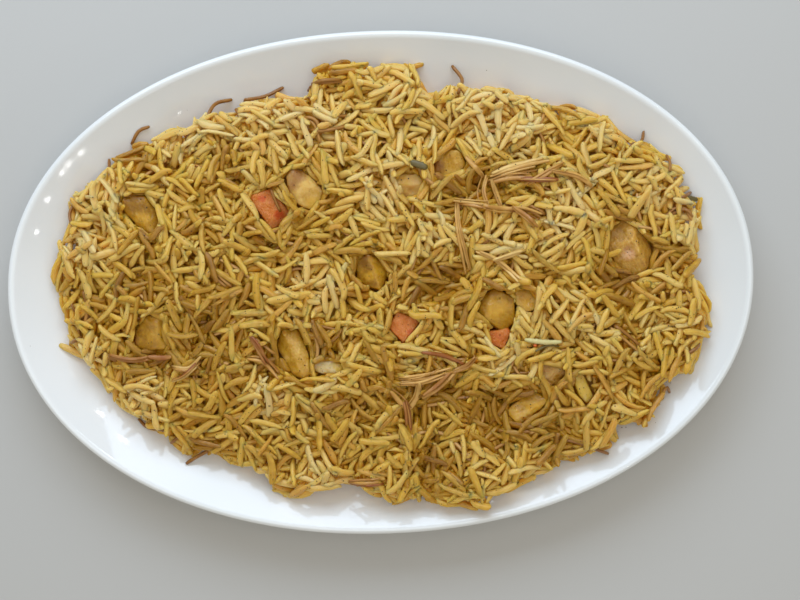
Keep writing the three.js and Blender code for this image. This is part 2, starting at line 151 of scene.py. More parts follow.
@dataclass(frozen=True)
class HeapForm:
    """Sizes of the rice heap in millimetres."""

    half_length: float = 155.0
    half_width: float = 101.0
    crown: float = 22.0
    edge: float = 2.4
    shoulder_power: float = 4.0
    shoulder_fall: float = 0.6
    lump_height: float = 0.9
    lump_length: float = 21.0
    bulges: tuple[tuple[float, float], ...] = (
        (0, 4), (24, 10), (45, 4), (62, -1), (74, -4), (82, 2.5), (90, 3.5), (99, 6), (104, -3.5),
        (124, -2), (144, 4.5), (168, 5), (197, 0), (219, -1), (244, -2), (253, 3), (263, 0),
        (270, 5), (287, 12), (298, 6.5), (317, 11), (334, 10.5), (360, 4),
    )

    def share(self, x: Array, y: Array) -> Array:
        """Tells how near points are to the outline.

        Args:
            x: Places along the platter.
            y: Places across the platter.

        Returns:
            0 at the middle of the heap and 1 on its outline.
        """
        angle = np.arctan2(y / self.half_width, x / self.half_length)
        degrees = np.degrees(angle) % 360
        stops = np.array(self.bulges)
        after = np.clip(np.searchsorted(stops[:, 0], degrees), 1, len(stops) - 1)
        low, high = stops[after - 1], stops[after]
        along = (degrees - low[..., 0]) / (high[..., 0] - low[..., 0])
        eased = along * along * (3 - 2 * along)
        bulge = low[..., 1] + (high[..., 1] - low[..., 1]) * eased
        plain = np.hypot(self.half_length * np.cos(angle), self.half_width * np.sin(angle))
        return np.hypot(x / self.half_length, y / self.half_width) / (1 + bulge / plain)

    def thickness(self, x: Array, y: Array) -> Array:
        """Gives the rice's depth over the glaze.

        Args:
            x: Places along the platter.
            y: Places across the platter.

        Returns:
            The depth inside the outline, and 0 outside.
        """
        share = self.share(x, y)
        fullness = (1 - np.minimum(share, 1) ** self.shoulder_power) ** self.shoulder_fall
        lump = self.lump_height * np.sin(x / self.lump_length) * np.cos(y / self.lump_length)
        depth = self.edge + (self.crown - self.edge + lump) * fullness
        return np.where(share < 1, depth, 0)


@dataclass
class HeightField:
    """The top of everything laid down so far, on a square grid in millimetres."""

    half_length: float = 184.0
    half_width: float = 126.0
    pitch: float = 0.5
    x: Array = field(init=False)
    y: Array = field(init=False)
    z: Array = field(init=False)

    def __post_init__(self) -> None:
        """Lays out the grid."""
        columns = np.arange(-self.half_length, self.half_length + self.pitch, self.pitch)
        rows = np.arange(-self.half_width, self.half_width + self.pitch, self.pitch)
        self.x, self.y = np.meshgrid(columns, rows)
        self.z = np.zeros_like(self.x)

    def cells(self, x: Array, y: Array) -> tuple[Array, Array]:
        """Finds the grid cells of points.

        Args:
            x: Places along the platter.
            y: Places across the platter.

        Returns:
            Row and column of each point.
        """
        row = ((y + self.half_width) / self.pitch + 0.5).astype(int)
        column = ((x + self.half_length) / self.pitch + 0.5).astype(int)
        return np.clip(row, 0, self.z.shape[0] - 1), np.clip(column, 0, self.z.shape[1] - 1)

    def sample(self, x: Array, y: Array) -> Array:
        """Returns the height under points."""
        return self.z[self.cells(x, y)]


def link_mesh(
    name: str,
    corners: Array,
    faces: Array,
    material: bpy.types.Material,
    marks: dict[str, Array] | None = None,
) -> bpy.types.Object:
    """Makes a smooth mesh object from millimetres and lets it ride on the part.

    Args:
        name: The piece's name.
        corners: Corner places in millimetres.
        faces: Corner numbers of each face, all with the same number of corners.
        material: The finish.
        marks: Values for each corner that the finish reads by name.

    Returns:
        The new object.
    """
    sides = faces.shape[1]
    mesh = bpy.data.meshes.new(name)
    mesh.vertices.add(len(corners))
    mesh.vertices.foreach_set("co", (corners * MILLIMETRE).astype(np.float32).ravel())
    mesh.loops.add(faces.size)
    mesh.loops.foreach_set("vertex_index", faces.astype(np.int32).ravel())
    mesh.polygons.add(len(faces))
    mesh.polygons.foreach_set("loop_start", np.arange(0, faces.size, sides, dtype=np.int32))
    mesh.polygons.foreach_set("use_smooth", np.ones(len(faces), dtype=bool))
    mesh.update(calc_edges=True)
    mesh.validate()
    for mark, values in (marks or {}).items():
        layer = mesh.attributes.new(mark, "FLOAT", "POINT")
        layer.data.foreach_set("value", values.astype(np.float32).ravel())
    mesh.materials.append(material)
    piece = bpy.data.objects.new(name, mesh)
    bpy.context.scene.collection.objects.link(piece)
    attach(piece, "root")
    return piece


def ring_faces(rings: int, sides: int) -> Array:
    """Numbers the triangles of a rod of rings that is closed by a tip at each end.

    Args:
        rings: Number of rings.
        sides: Corners of each ring.

    Returns:
        Triangles over the rings' corners, then the first tip, then the last.
    """
    around = np.arange(sides)
    beside = (around + 1) % sides
    faces = []
    for ring in range(rings - 1):
        low, high = ring * sides, (ring + 1) * sides
        faces.append(np.stack([low + around, low + beside, high + beside], 1))
        faces.append(np.stack([low + around, high + beside, high + around], 1))
    first, last = rings * sides, rings * sides + 1
    end = (rings - 1) * sides
    faces.append(np.stack([np.full(sides, first), beside, around], 1))
    faces.append(np.stack([np.full(sides, last), end + around, end + beside], 1))
    return np.concatenate(faces)


class Shader:
    """A short way to write nodes into a tree."""

    def __init__(self, tree: bpy.types.NodeTree) -> None:
        """Starts on a node tree."""
        self.tree = tree

    def add(self, kind: str, settings: dict | None = None, **inputs: object) -> bpy.types.Node:
        """Adds a node.

        Args:
            kind: The node's type name.
            settings: Properties of the node itself.
            **inputs: Values or sockets, by the name of the input.

        Returns:
            The node.
        """
        node = self.tree.nodes.new(kind)
        for key, value in (settings or {}).items():
            setattr(node, key, value)
        for key, value in inputs.items():
            self.feed(node.inputs[key], value)
        return node

    def feed(self, socket: Socket, value: object) -> None:
        """Links a socket into another, or sets its value."""
        if isinstance(value, Socket):
            self.tree.links.new(value, socket)
        else:
            socket.default_value = value

    def mark(self, name: str) -> Socket:
        """Returns the value that the mesh carries under a name."""
        return self.add("ShaderNodeAttribute", {"attribute_name": name}).outputs["Fac"]

    def place(self) -> Socket:
        """Returns the place on the object in metres."""
        return self.add("ShaderNodeTexCoord").outputs["Object"]

    def noise(self, scale: object, detail: float = 3.0) -> Socket:
        """Returns a noise value, with scale in lumps to the metre."""
        node = self.add("ShaderNodeTexNoise", Vector=self.place(), Scale=scale, Detail=detail)
        return node.outputs["Fac"]

    def sway(self, scale: float, detail: float, reach: float) -> Socket:
        """Returns a noise that swings evenly to both sides of 0."""
        return self.span(self.noise(scale, detail), 0.3, 0.7, (-reach, reach))

    def cells(self, scale: object) -> Socket:
        """Returns the distance to the nearest of many scattered points."""
        node = self.add("ShaderNodeTexVoronoi", Vector=self.place(), Scale=scale)
        return node.outputs["Distance"]

    def math(self, operation: str, *values: object) -> Socket:
        """Returns the result of a sum on values."""
        node = self.add("ShaderNodeMath", {"operation": operation})
        for index, value in enumerate(values):
            self.feed(node.inputs[index], value)
        return node.outputs[0]

    def span(self, value: object, low: float, high: float, to: tuple = (0.0, 1.0)) -> Socket:
        """Returns a value stretched from one span to another, and held inside it."""
        node = self.add("ShaderNodeMapRange", {"clamp": True})
        for index, item in enumerate((value, low, high, *to)):
            self.feed(node.inputs[index], item)
        return node.outputs[0]

    def mix(self, share: object, first: object, second: object) -> Socket:
        """Returns a colour between two colours."""
        node = self.add("ShaderNodeMix", {"data_type": "RGBA"})
        for index, item in ((0, share), (6, first), (7, second)):
            self.feed(node.inputs[index], item)
        return node.outputs[2]

    def ramp(self, value: object, *stops: tuple[float, Colour]) -> Socket:
        """Returns the colour at a value on a scale of colours."""
        node = self.add("ShaderNodeValToRGB", Fac=value)
        elements = node.color_ramp.elements
        while len(elements) < len(stops):
            elements.new(0.5)
        for element, (position, colour) in zip(elements, stops):
            element.position = position
            element.color = colour
        return node.outputs["Color"]


def tint(red: int, green: int, blue: int) -> Colour:
    """Turns a colour as seen on a screen into the linear colour of a shader.

    Args:
        red: Red from 0 to 255.
        green: Green from 0 to 255.
        blue: Blue from 0 to 255.

    Returns:
        Linear red, green and blue, and a full alpha.
    """
    linear = []
    for channel in (red, green, blue):
        value = channel / 255
        linear.append(value / 12.92 if value <= 0.04045 else ((value + 0.055) / 1.055) ** 2.4)
    return (*linear, 1.0)


class SharedGroups:
    """Node groups that several finishes use, each built once."""

    built: dict[str, bpy.types.NodeTree] = {}

    @classmethod
    def start(
        cls, name: str, ins: dict[str, float], outs: tuple[str, ...]
    ) -> tuple[Shader, bpy.types.Node, bpy.types.Node]:
        """Opens a new group whose inputs and outputs are plain values.

        Args:
            name: The group's name.
            ins: Names of the inputs, with their values.
            outs: Names of the outputs.

        Returns:
            The group's shader writer, its input node and its output node.
        """
        tree = bpy.data.node_groups.new(name, "ShaderNodeTree")
        for key, value in ins.items():
            socket = tree.interface.new_socket(key, in_out="INPUT", socket_type="NodeSocketFloat")
            socket.default_value = value
        for key in outs:
            tree.interface.new_socket(key, in_out="OUTPUT", socket_type="NodeSocketFloat")
        cls.built[name] = tree
        return Shader(tree), tree.nodes.new("NodeGroupInput"), tree.nodes.new("NodeGroupOutput")

    @classmethod
    def place(cls, shader: Shader, name: str, **inputs: float) -> bpy.types.Node:
        """Puts a group into a material.

        Args:
            shader: The material's shader writer.
            name: The group's name, which is also the name of its builder here.
            **inputs: Values of the group's inputs.

        Returns:
            The group's node.
        """
        if name not in cls.built:
            getattr(cls, name)()
        return shader.add("ShaderNodeGroup", {"node_tree": cls.built[name]}, **inputs)

    @classmethod
    def oily_film(cls) -> None:
        """Builds the uneven wetness of food in oil: a roughness and a fine height."""
        ins = {"Dry": 0.55, "Wet": 0.28, "Scale": 160.0}
        shader, entry, leave = cls.start("oily_film", ins, ("Roughness", "Height"))
        share = shader.span(shader.noise(entry.outputs["Scale"]), 0.38, 0.62)
        spread = shader.math("SUBTRACT", entry.outputs["Dry"], entry.outputs["Wet"])
        wetness = shader.math("MULTIPLY_ADD", share, spread, entry.outputs["Wet"])
        shader.feed(leave.inputs["Roughness"], wetness)
        shader.feed(leave.inputs["Height"], shader.noise(1400.0, 2.0))

    @classmethod
    def fibres(cls) -> None:
        """Builds lengthwise fibres from the mark that runs round a piece."""
        shader, entry, leave = cls.start("fibres", {"Count": 9.0, "Wander": 2.0}, ("Mask", "Height"))
        around = shader.math("MULTIPLY", shader.mark("around"), entry.outputs["Count"])
        drift = shader.math("MULTIPLY", shader.noise(120.0, 2.0), entry.outputs["Wander"])
        phase = shader.math("MULTIPLY", shader.math("ADD", around, drift), 2 * math.pi)
        wave = shader.math("MULTIPLY_ADD", shader.math("SINE", phase), 0.5, 0.5)
        shader.feed(leave.inputs["Mask"], shader.math("POWER", wave, 2.0))
        shader.feed(leave.inputs["Height"], wave)

    @classmethod
    def spice_dust(cls) -> None:
        """Builds scattered specks of ground spice as a mask."""
        shader, entry, leave = cls.start("spice_dust", {"Scale": 420.0, "Amount": 0.1}, ("Mask",))
        near = shader.math("LESS_THAN", shader.cells(entry.outputs["Scale"]), entry.outputs["Amount"])
        thin = shader.math("GREATER_THAN", shader.noise(230.0, 1.0), 0.52)
        shader.feed(leave.inputs["Mask"], shader.math("MULTIPLY", near, thin))


class Surface(Shader):
    """A finish in the making: a material with one Principled shader."""

    def __init__(self, name: str) -> None:
        """Starts the material."""
        self.material = bpy.data.materials.new(name)
        self.material.use_nodes = True
        super().__init__(self.material.node_tree)
        self.principled = self.tree.nodes["Principled BSDF"]

    def put(self, name: str, value: object) -> None:
        """Sets an input of the shader, or links a socket into it."""
        self.feed(self.principled.inputs[name], value)

    def dust(self, colour: Socket, scale: float, amount: float, share: float, spice: Colour) -> Socket:
        """Returns a colour with scattered specks of spice over it."""
        specks = SharedGroups.place(self, "spice_dust", Scale=scale, Amount=amount)
        return self.mix(self.math("MULTIPLY", specks.outputs["Mask"], share), colour, spice)

    def oil(self, dry: float, wet: float, scale: float) -> Socket:
        """Wets the finish unevenly, and returns the film's fine height."""
        film = SharedGroups.place(self, "oily_film", Dry=dry, Wet=wet, Scale=scale)
        self.put("Roughness", film.outputs["Roughness"])
        return film.outputs["Height"]

    def roughen(self, strength: float, distance: float, height: Socket) -> None:
        """Gives the finish a fine relief, with its depth in metres."""
        bump = self.add("ShaderNodeBump", Strength=strength, Distance=distance, Height=height)
        self.put("Normal", bump.outputs["Normal"])

    def soften(self, weight: float, radius: tuple[float, float, float]) -> None:
        """Dulls the shine and lets light into the flesh, each colour to its radius in metres."""
        self.put("Specular IOR Level", 0.36)
        self.put("Subsurface Weight", weight)
        self.put("Subsurface Radius", radius)
        self.put("Subsurface Scale", 1.0)


@dataclass(frozen=True)
class GlazeFinish:
    """White glaze with fine pinholes, and the bare clay of the foot's edge."""

    white: Colour = tint(239, 241, 241)
    shade: Colour = tint(230, 233, 233)
    pinhole: Colour = tint(150, 140, 125)
    clay: Colour = tint(206, 197, 182)

    def build(self) -> bpy.types.Material:
        """Returns the material."""
        glaze = Surface("white_glaze")
        colour = glaze.mix(glaze.span(glaze.noise(9.0), 0.35, 0.7), self.white, self.shade)
        pinholes = glaze.math("LESS_THAN", glaze.cells(90.0), 0.022)
        colour = glaze.mix(glaze.math("MULTIPLY", pinholes, 0.35), colour, self.pinhole)
        bare = glaze.mark("bare_clay")
        glaze.put("Base Color", glaze.mix(bare, colour, self.clay))
        smooth = glaze.span(glaze.noise(30.0, 2.0), 0.3, 0.7, (0.04, 0.08))
        glaze.put("Roughness", glaze.math("MAXIMUM", smooth, bare))
        glaze.put("IOR", 1.5)
        glaze.roughen(0.05, 0.0008, glaze.noise(26.0, 2.0))
        return glaze.material


@dataclass(frozen=True)
class RiceFinish:
    """Cooked rice of one shade, from its deep to its light grains, with painted light where the grains lie
    deep.
    """

    name: str
    deep: Colour
    body: Colour
    light: Colour
    # Bright orange that the deep parts of the grains are painted with, as painted light in the gaps.
    painted_crevice_glow: Colour = tint(236, 168, 34)
    spice: Colour = tint(84, 56, 22)

    def build(self) -> bpy.types.Material:
        """Returns the material."""
        rice = Surface(self.name)
        patch = rice.math("MULTIPLY", rice.math("SUBTRACT", rice.noise(300.0, 2.0), 0.5), 0.5)
        level = rice.math("ADD", rice.mark("grain_tint"), patch)
        colour = rice.ramp(level, (0.0, self.deep), (0.5, self.body), (1.0, self.light))
        tips = rice.math("POWER", rice.math("ABSOLUTE", rice.mark("along")), 5.0)
        colour = rice.mix(rice.math("MULTIPLY", tips, 0.18), colour, self.deep)
        # Painted light: the deeper a part of a grain lies under the heap's top, the more it turns bright
        # orange, standing in for light that reaches into the gaps.
        colour = rice.mix(rice.math("MULTIPLY", rice.mark("buried"), 0.9), colour, self.painted_crevice_glow)
        rice.put("Base Color", rice.dust(colour, 500.0, 0.15, 0.75, self.spice))
        creases = SharedGroups.place(rice, "fibres", Count=4.0, Wander=0.6)
        height = rice.math("ADD", rice.oil(0.52, 0.3, 190.0), creases.outputs["Height"])
        rice.roughen(0.45, 0.0003, height)
        rice.soften(0.9, (0.0042, 0.0037, 0.0027))
        return rice.material


@dataclass(frozen=True)
class BedFinish:
    """The rice deep between the grains, in its own colour painted brighter and more orange, as painted light
    in the shaded gaps.
    """

    # These colours are brighter than the grains' deep shade, as painted light in the gaps between grains.
    deep: Colour = tint(206, 140, 34)
    body: Colour = tint(226, 164, 46)
    light: Colour = tint(236, 182, 64)

    def build(self) -> bpy.types.Material:
        """Returns the material."""
        bed = Surface("rice_bed")
        crumb = bed.noise(420.0, 4.0)
        bed.put("Base Color", bed.ramp(crumb, (0.3, self.deep), (0.5, self.body), (0.68, self.light)))
        bed.oil(0.65, 0.4, 200.0)
        bed.roughen(0.6, 0.0008, bed.noise(380.0))
        return bed.material


@dataclass(frozen=True)
class FibreFinish:
    """Thin brown vermicelli or pulled chicken: fibres that change colour along the way."""

    name: str
    dark: Colour
    body: Colour
    light: Colour
    count: float = 3.0
    wet: float = 0.26

    def build(self) -> bpy.types.Material:
        """Returns the material."""
        flesh = Surface(self.name)
        drift = flesh.math("MULTIPLY", flesh.math("SUBTRACT", flesh.noise(140.0), 0.5), 0.7)
        level = flesh.math("ADD", flesh.mark("grain_tint"), drift)
        colour = flesh.ramp(level, (0.08, self.dark), (0.5, self.body), (0.95, self.light))
        strands = SharedGroups.place(flesh, "fibres", Count=self.count, Wander=1.5)
        shade = flesh.math("MULTIPLY", strands.outputs["Mask"], 0.25)
        flesh.put("Base Color", flesh.mix(shade, colour, self.dark))
        height = flesh.math("ADD", strands.outputs["Height"], flesh.oil(0.5, self.wet, 170.0))
        flesh.roughen(0.5, 0.0003, height)
        return flesh.material


@dataclass(frozen=True)
class DiceFinish:
    """A diced piece: deep, body and pale flesh, and its browned or skinned side."""

    name: str
    deep: Colour
    body: Colour
    pale: Colour
    skin: Colour
    blush: Colour
    grain_scale: float = 900.0
    relief: float = 0.35
    wet: float = 0.2
    glow: float = 0.3
    spice: Colour = tint(88, 58, 24)

    def build(self) -> bpy.types.Material:
        """Returns the material."""
        dice = Surface(self.name)
        grain = dice.noise(self.grain_scale, 4.0)
        level = dice.math("ADD", dice.mark("grain_tint"), dice.sway(210.0, 5.0, 0.24))
        level = dice.math("ADD", level, dice.span(grain, 0.3, 0.7, (-0.1, 0.1)))
        # Painted shade: the piece is darker towards its bottom and a touch paler at its top.
        level = dice.math("ADD", level, dice.span(dice.mark("along"), -0.3, 0.85, (-0.1, 0.04)))
        colour = dice.ramp(level, (0.0, self.deep), (0.5, self.body), (1.0, self.pale))
        ragged = dice.math("ADD", dice.mark("skin"), dice.sway(260.0, 5.0, 0.3))
        colour = dice.mix(dice.span(ragged, 0.15, 1.05), colour, self.skin)
        patchy = dice.math("ADD", dice.mark("blush"), dice.sway(330.0, 4.0, 0.3))
        colour = dice.mix(dice.span(patchy, 0.2, 1.1, (0.0, 0.8)), colour, self.blush)
        dice.put("Base Color", dice.dust(colour, 330.0, 0.1, 0.5, self.spice))
        dice.oil(0.4, self.wet, 240.0)
        coarse = dice.math("MULTIPLY", dice.noise(300.0), 1.5)
        dice.roughen(self.relief, 0.0008, dice.math("ADD", grain, coarse))
        dice.soften(self.glow, (0.0045, 0.003, 0.0013))
        return dice.material


@dataclass(frozen=True)
class SpeckFinish:
    """Ground pepper."""

    dark: Colour = tint(28, 20, 12)
    light: Colour = tint(86, 58, 28)

    def build(self) -> bpy.types.Material:
        """Returns the material."""
        speck = Surface("pepper")
        speck.put("Base Color", speck.ramp(speck.mark("grain_tint"), (0.0, self.dark), (1.0, self.light)))
        speck.put("Roughness", 0.7)
        return speck.material


@dataclass(frozen=True)
class ScrapFinish:
    """Bits of herb and spice, from dark leaf over pale stalk to a crumb of carrot."""

    leaf: Colour = tint(84, 72, 38)
    herb: Colour = tint(120, 104, 52)
    stalk: Colour = tint(214, 204, 140)
    crumb: Colour = tint(214, 104, 30)

    def build(self) -> bpy.types.Material:
        """Returns the material."""
        scrap = Surface("herb_scraps")
        level = scrap.math("ADD", scrap.mark("grain_tint"), scrap.sway(500.0, 3.0, 0.05))
        stops = (0.0, self.leaf), (0.35, self.herb), (0.7, self.stalk), (1.0, self.crumb)
        scrap.put("Base Color", scrap.ramp(level, *stops))
        scrap.roughen(0.4, 0.0004, scrap.oil(0.5, 0.25, 240.0))
        return scrap.material


@dataclass
class Platter:
    """The glazed platter, smooth and at the solid's own sizes."""

    form: DishForm
    finish: GlazeFinish = GlazeFinish()
    segments: int = 240
    name: str = "glazed_platter"

    def ring(self, inset: float, height: float, fixed: float) -> tuple[float, float, float]:
        """Gives one ring of the platter.

        Args:
            inset: Distance in from the rim along the platter.
            height: Height of the ring.
            fixed: Inset from which inner rings keep one shape.

        Returns:
            Half length, half width and height.
        """
        form = self.form
        reach = form.length / 2 - inset
        if inset <= fixed:
            return reach, form.width / 2 - inset, height
        return reach, (form.width / 2 - fixed) * reach / (form.length / 2 - fixed), height

    def profile(self) -> list[tuple[float, float, float]]:
        """Lists the rings from the middle of the underside round to the well.

        Returns:
            Half length, half width and height of each ring.
        """
        form = self.form
        rim = form.length / 2
        under = form.well_height - form.well_thickness
        outer = form.foot_inset
        inner = form.foot_inset + form.foot_width
        points = [(rim - 3, form.foot_recess), (rim * 0.6, form.foot_recess)]
        points += [(inner + 0.5, form.foot_recess), (inner + 0.1, form.foot_recess - 0.3)]
        points += [(inner - 0.1, 0.5), (inner - 0.5, 0.1), (inner - 1.0, 0.0)]
        points += [(outer + 1.0, 0.0), (outer + 0.5, 0.1), (outer + 0.1, 0.5)]
        points += [(outer - form.foot_taper + 0.3, under - 0.4), (outer - form.foot_taper - 0.5, under)]
        for inset in np.linspace(form.underside_run, form.lip_radius, 18):
            share = float(form.wall_share(np.array(inset), form.underside_run))
            points.append((float(inset), under + (form.height - 2 * form.lip_radius - under) * share))
        for angle in np.radians(np.arange(-75, 90, 15)):
            inset = form.lip_radius * (1 - math.cos(angle))
            points.append((inset, form.height - form.lip_radius * (1 - math.sin(angle))))
        rings = [self.ring(inset, height, inner) for inset, height in points]
        for inset in np.linspace(form.lip_radius, form.wall_run, 26):
            share = float(form.wall_share(np.array(inset), form.wall_run))
            height = form.well_height + (form.height - form.well_height) * share
            rings.append(self.ring(float(inset), height, form.wall_run))
        for inset in (rim * 0.5, rim - 3):
            rings.append(self.ring(inset, form.well_height, form.wall_run))
        return rings

    def build(self) -> bpy.types.Object:
        """Builds the platter and dresses it.

        Returns:
            The platter's object.
        """
        rings = self.profile()
        turn = np.linspace(0, 2 * math.pi, self.segments, endpoint=False)
        power = 2 / self.form.outline_power
        round_x = np.sign(np.cos(turn)) * np.abs(np.cos(turn)) ** power
        round_y = np.sign(np.sin(turn)) * np.abs(np.sin(turn)) ** power
        corners = [
            np.stack([length * round_x, width * round_y, np.full_like(turn, height)], 1)
            for length, width, height in rings
        ]
        middles = np.array([[0.0, 0.0, rings[0][2]], [0.0, 0.0, rings[-1][2]]])
        points = np.concatenate([*corners, middles])
        bare = (points[:, 2] < 0.3).astype(float)
        faces = ring_faces(len(rings), self.segments)
        piece = link_mesh(self.name, points, faces, self.finish.build(), {"bare_clay": bare})
        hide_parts("platter")
        return piece


def wave_relief(seed: int) -> Callable[[Array], Array]:
    """Makes a smooth random relief from a few waves.

    Args:
        seed: The seed.

    Returns:
        A function from points to values of about -1 to 1.
    """
    random = np.random.default_rng(seed)
    waves = random.normal(size=(16, 3))
    phases = random.uniform(0, 2 * math.pi, 16)

    def relief(points: Array) -> Array:
        """Returns the relief at points."""
        return np.sin(points @ waves.T + phases).sum(-1) / 5

    return relief


def ease(value: Array, low: float, high: float) -> Array:
    """Returns 0 below low, 1 above high and a smooth rise between."""
    share = np.clip((value - low) / (high - low), 0, 1)
    return share * share * (3 - 2 * share)


def unit_ball() -> tuple[Array, Array]:
    """Makes an even ball of small triangles.

    Returns:
        Directions of its corners from the middle, and its triangles.
    """
    ball = bpy.data.meshes.new("ball")
    shape = bmesh.new()
    bmesh.ops.create_icosphere(shape, subdivisions=5, radius=1.0)
    shape.to_mesh(ball)
    shape.free()
    rays = np.empty(len(ball.vertices) * 3, np.float32)
    ball.vertices.foreach_get("co", rays)
    faces = np.empty(len(ball.polygons) * 3, np.int32)
    ball.polygons.foreach_get("vertices", faces)
    bpy.data.meshes.remove(ball)
    rays = rays.reshape(-1, 3).astype(float)
    return rays / np.linalg.norm(rays, axis=1, keepdims=True), faces.reshape(-1, 3)


@dataclass
class DicePiece:
    """One diced or torn piece: an uneven block with rounded edges, at a solid's place.

    The outline goes round the piece in millimetres from its middle. Each slope is the
    heading in which a top facet falls, its steepness, and how far it lies under the top.
    The skin is a heading, a steepness upward and the share at which it starts. The level
    tells how pale the piece is, from 0 to 1. Each blush is the middle and the radius of a
    patch of a stronger colour, and each dent the middle, radius and depth of a hollow.
    A high sharpness keeps the edges crisp. The relief is the height of lumps of the lump's
    size, the draft the lean of the sides, patchy how much the facets differ in tone and how
    much darker the side cuts are painted as shade, and painted_edge_highlight how much paler the edges
    are painted as a highlight.
    """

    node: str
    kind: DiceKind
    outline: tuple[tuple[float, float], ...]
    slopes: tuple[tuple[float, float, float], ...] = ()
    skin: tuple[float, float, float] = (0.0, 0.0, 2.0)
    level: float = 0.5
    blush: tuple[tuple[float, float, float], ...] = ()
    dents: tuple[tuple[float, float, float, float], ...] = ()
    sharpness: float = 15.0
    relief: float = 0.05
    lump: float = 2.4
    draft: float = 0.1
    patchy: float = 0.24
    painted_edge_highlight: float = 0.17

    def planes(self, half: float) -> tuple[Array, Array]:
        """Lists the flat cuts that bound the piece.

        Args:
            half: Half of the piece's height.

        Returns:
            Outward directions, and distances from the middle.
        """
        directions: list[Array] = [np.array([0.0, 0.0, 1.0]), np.array([0.0, 0.0, -1.0])]
        distances = [half, half]
        ring = list(self.outline)
        for (x1, y1), (x2, y2) in zip(ring, ring[1:] + ring[:1]):
            flat = np.array([y2 - y1, x1 - x2, 0.0]) / math.hypot(x2 - x1, y2 - y1)
            distance = flat[0] * x1 + flat[1] * y1
            if distance < 0:
                flat, distance = -flat, -distance
            normal = flat + np.array([0.0, 0.0, self.draft])
            size = float(np.linalg.norm(normal))
            directions.append(normal / size)
            distances.append(max(distance + self.draft * 0.3 * half, 1.2) / size)
        for heading, steepness, drop in self.slopes:
            fall = math.radians(heading)
            normal = np.array([math.cos(fall) * steepness, math.sin(fall) * steepness, 1.0])
            size = float(np.linalg.norm(normal))
            directions.append(normal / size)
            distances.append((half - drop) / size)
        return np.array(directions), np.array(distances)

    def build(self, finish: bpy.types.Material, seed: int) -> bpy.types.Object:
        """Builds the piece.

        Args:
            finish: The piece's material.
            seed: The seed of its unevenness.

        Returns:
            The piece's object.
        """
        low, high = (np.array(corner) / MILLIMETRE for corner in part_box(self.node))
        middle = (low + high) / 2
        rays, faces = unit_ball()
        directions, distances = self.planes(float(high[2] - low[2]) / 2)
        pulls = np.maximum(rays @ directions.T, 0) / distances
        shares = pulls**self.sharpness
        reach = shares.sum(1) ** (-1 / self.sharpness)
        tones_and_side_shade = np.random.default_rng(seed + 900).uniform(-self.patchy, self.patchy, len(distances))
        # Painted shade: the side cuts are made darker than the top and the slopes.
        tones_and_side_shade[2:len(self.outline) + 2] -= self.patchy
        facet = (shares * tones_and_side_shade).sum(1) / shares.sum(1)
        # Painted highlight: the piece is made paler along the edges between its cuts.
        facet += self.painted_edge_highlight * ease(1 - shares.max(1) / shares.sum(1), 0.2, 0.62)
        points = rays * reach[:, None]
        coarse, fine = wave_relief(seed), wave_relief(seed + 500)
        uneven = coarse(points / self.lump) + 0.6 * fine(points / (self.lump * 0.3))
        points = points * (1 + self.relief * uneven)[:, None]
        for x, y, radius, depth in self.dents:
            away = np.hypot(points[:, 0] - x, points[:, 1] - y) / radius
            points[:, 2] -= depth * (1 - ease(away, 0, 1)) * ease(points[:, 2], -1, 2)
        heading = math.radians(self.skin[0])
        toward = np.array([math.cos(heading), math.sin(heading), self.skin[1]])
        toward /= np.linalg.norm(toward)
        blush = np.zeros(len(points))
        for x, y, radius in self.blush:
            away = np.hypot(points[:, 0] - x, points[:, 1] - y) / radius
            blush = np.maximum(blush, (1 - ease(away, 0.35, 1.25)) * ease(points[:, 2], -2, 1))
        marks = {
            "blush": blush,
            "skin": ease(rays @ toward + 0.1 * uneven, self.skin[2], self.skin[2] + 0.45),
            # The tint carries the piece's level with its painted facet shade and painted edge highlight.
            "grain_tint": self.level + facet,
            # The height on the piece, which the finish paints darker towards the bottom as shade.
            "along": rays[:, 2],
        }
        piece = link_mesh(self.node + "_cut", points + middle, faces, finish, marks)
        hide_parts(self.node)
        return piece


@dataclass
class Bundle:
    """Meshes of one kind that are gathered into one piece."""

    corners: list[Array] = field(default_factory=list)
    faces: list[Array] = field(default_factory=list)
    marks: dict[str, list[Array]] = field(default_factory=dict)
    count: int = 0

    def add(self, corners: Array, faces: Array, **marks: Array) -> None:
        """Adds one mesh.

        Args:
            corners: Its corners in millimetres.
            faces: Its triangles.
            **marks: A value for each corner, by name.
        """
        self.corners.append(corners)
        self.faces.append(faces + self.count)
        self.count += len(corners)
        for name, values in marks.items():
            self.marks.setdefault(name, []).append(np.broadcast_to(values, (len(corners),)))

    def link(self, name: str, material: bpy.types.Material) -> bpy.types.Object:
        """Makes the piece."""
        marks = {mark: np.concatenate(values) for mark, values in self.marks.items()}
        corners, faces = np.concatenate(self.corners), np.concatenate(self.faces)
        return link_mesh(name, corners, faces, material, marks)


class Grain(NamedTuple):
    """A rice grain as a rod: place of its middle, heading, slope, sizes and sideways bend."""

    x: float
    y: float
    z: float
    turn: float
    slope: float
    half: float
    radius: float
    bow: float


def rod_profile(along: Array) -> Array:
    """Gives a grain's thickness along its length.

    Args:
        along: Places from -1 at one tip to 1 at the other.

    Returns:
        The share of its full radius.
    """
    return np.maximum(1 - np.abs(along) ** 4.6, 0) ** 0.44


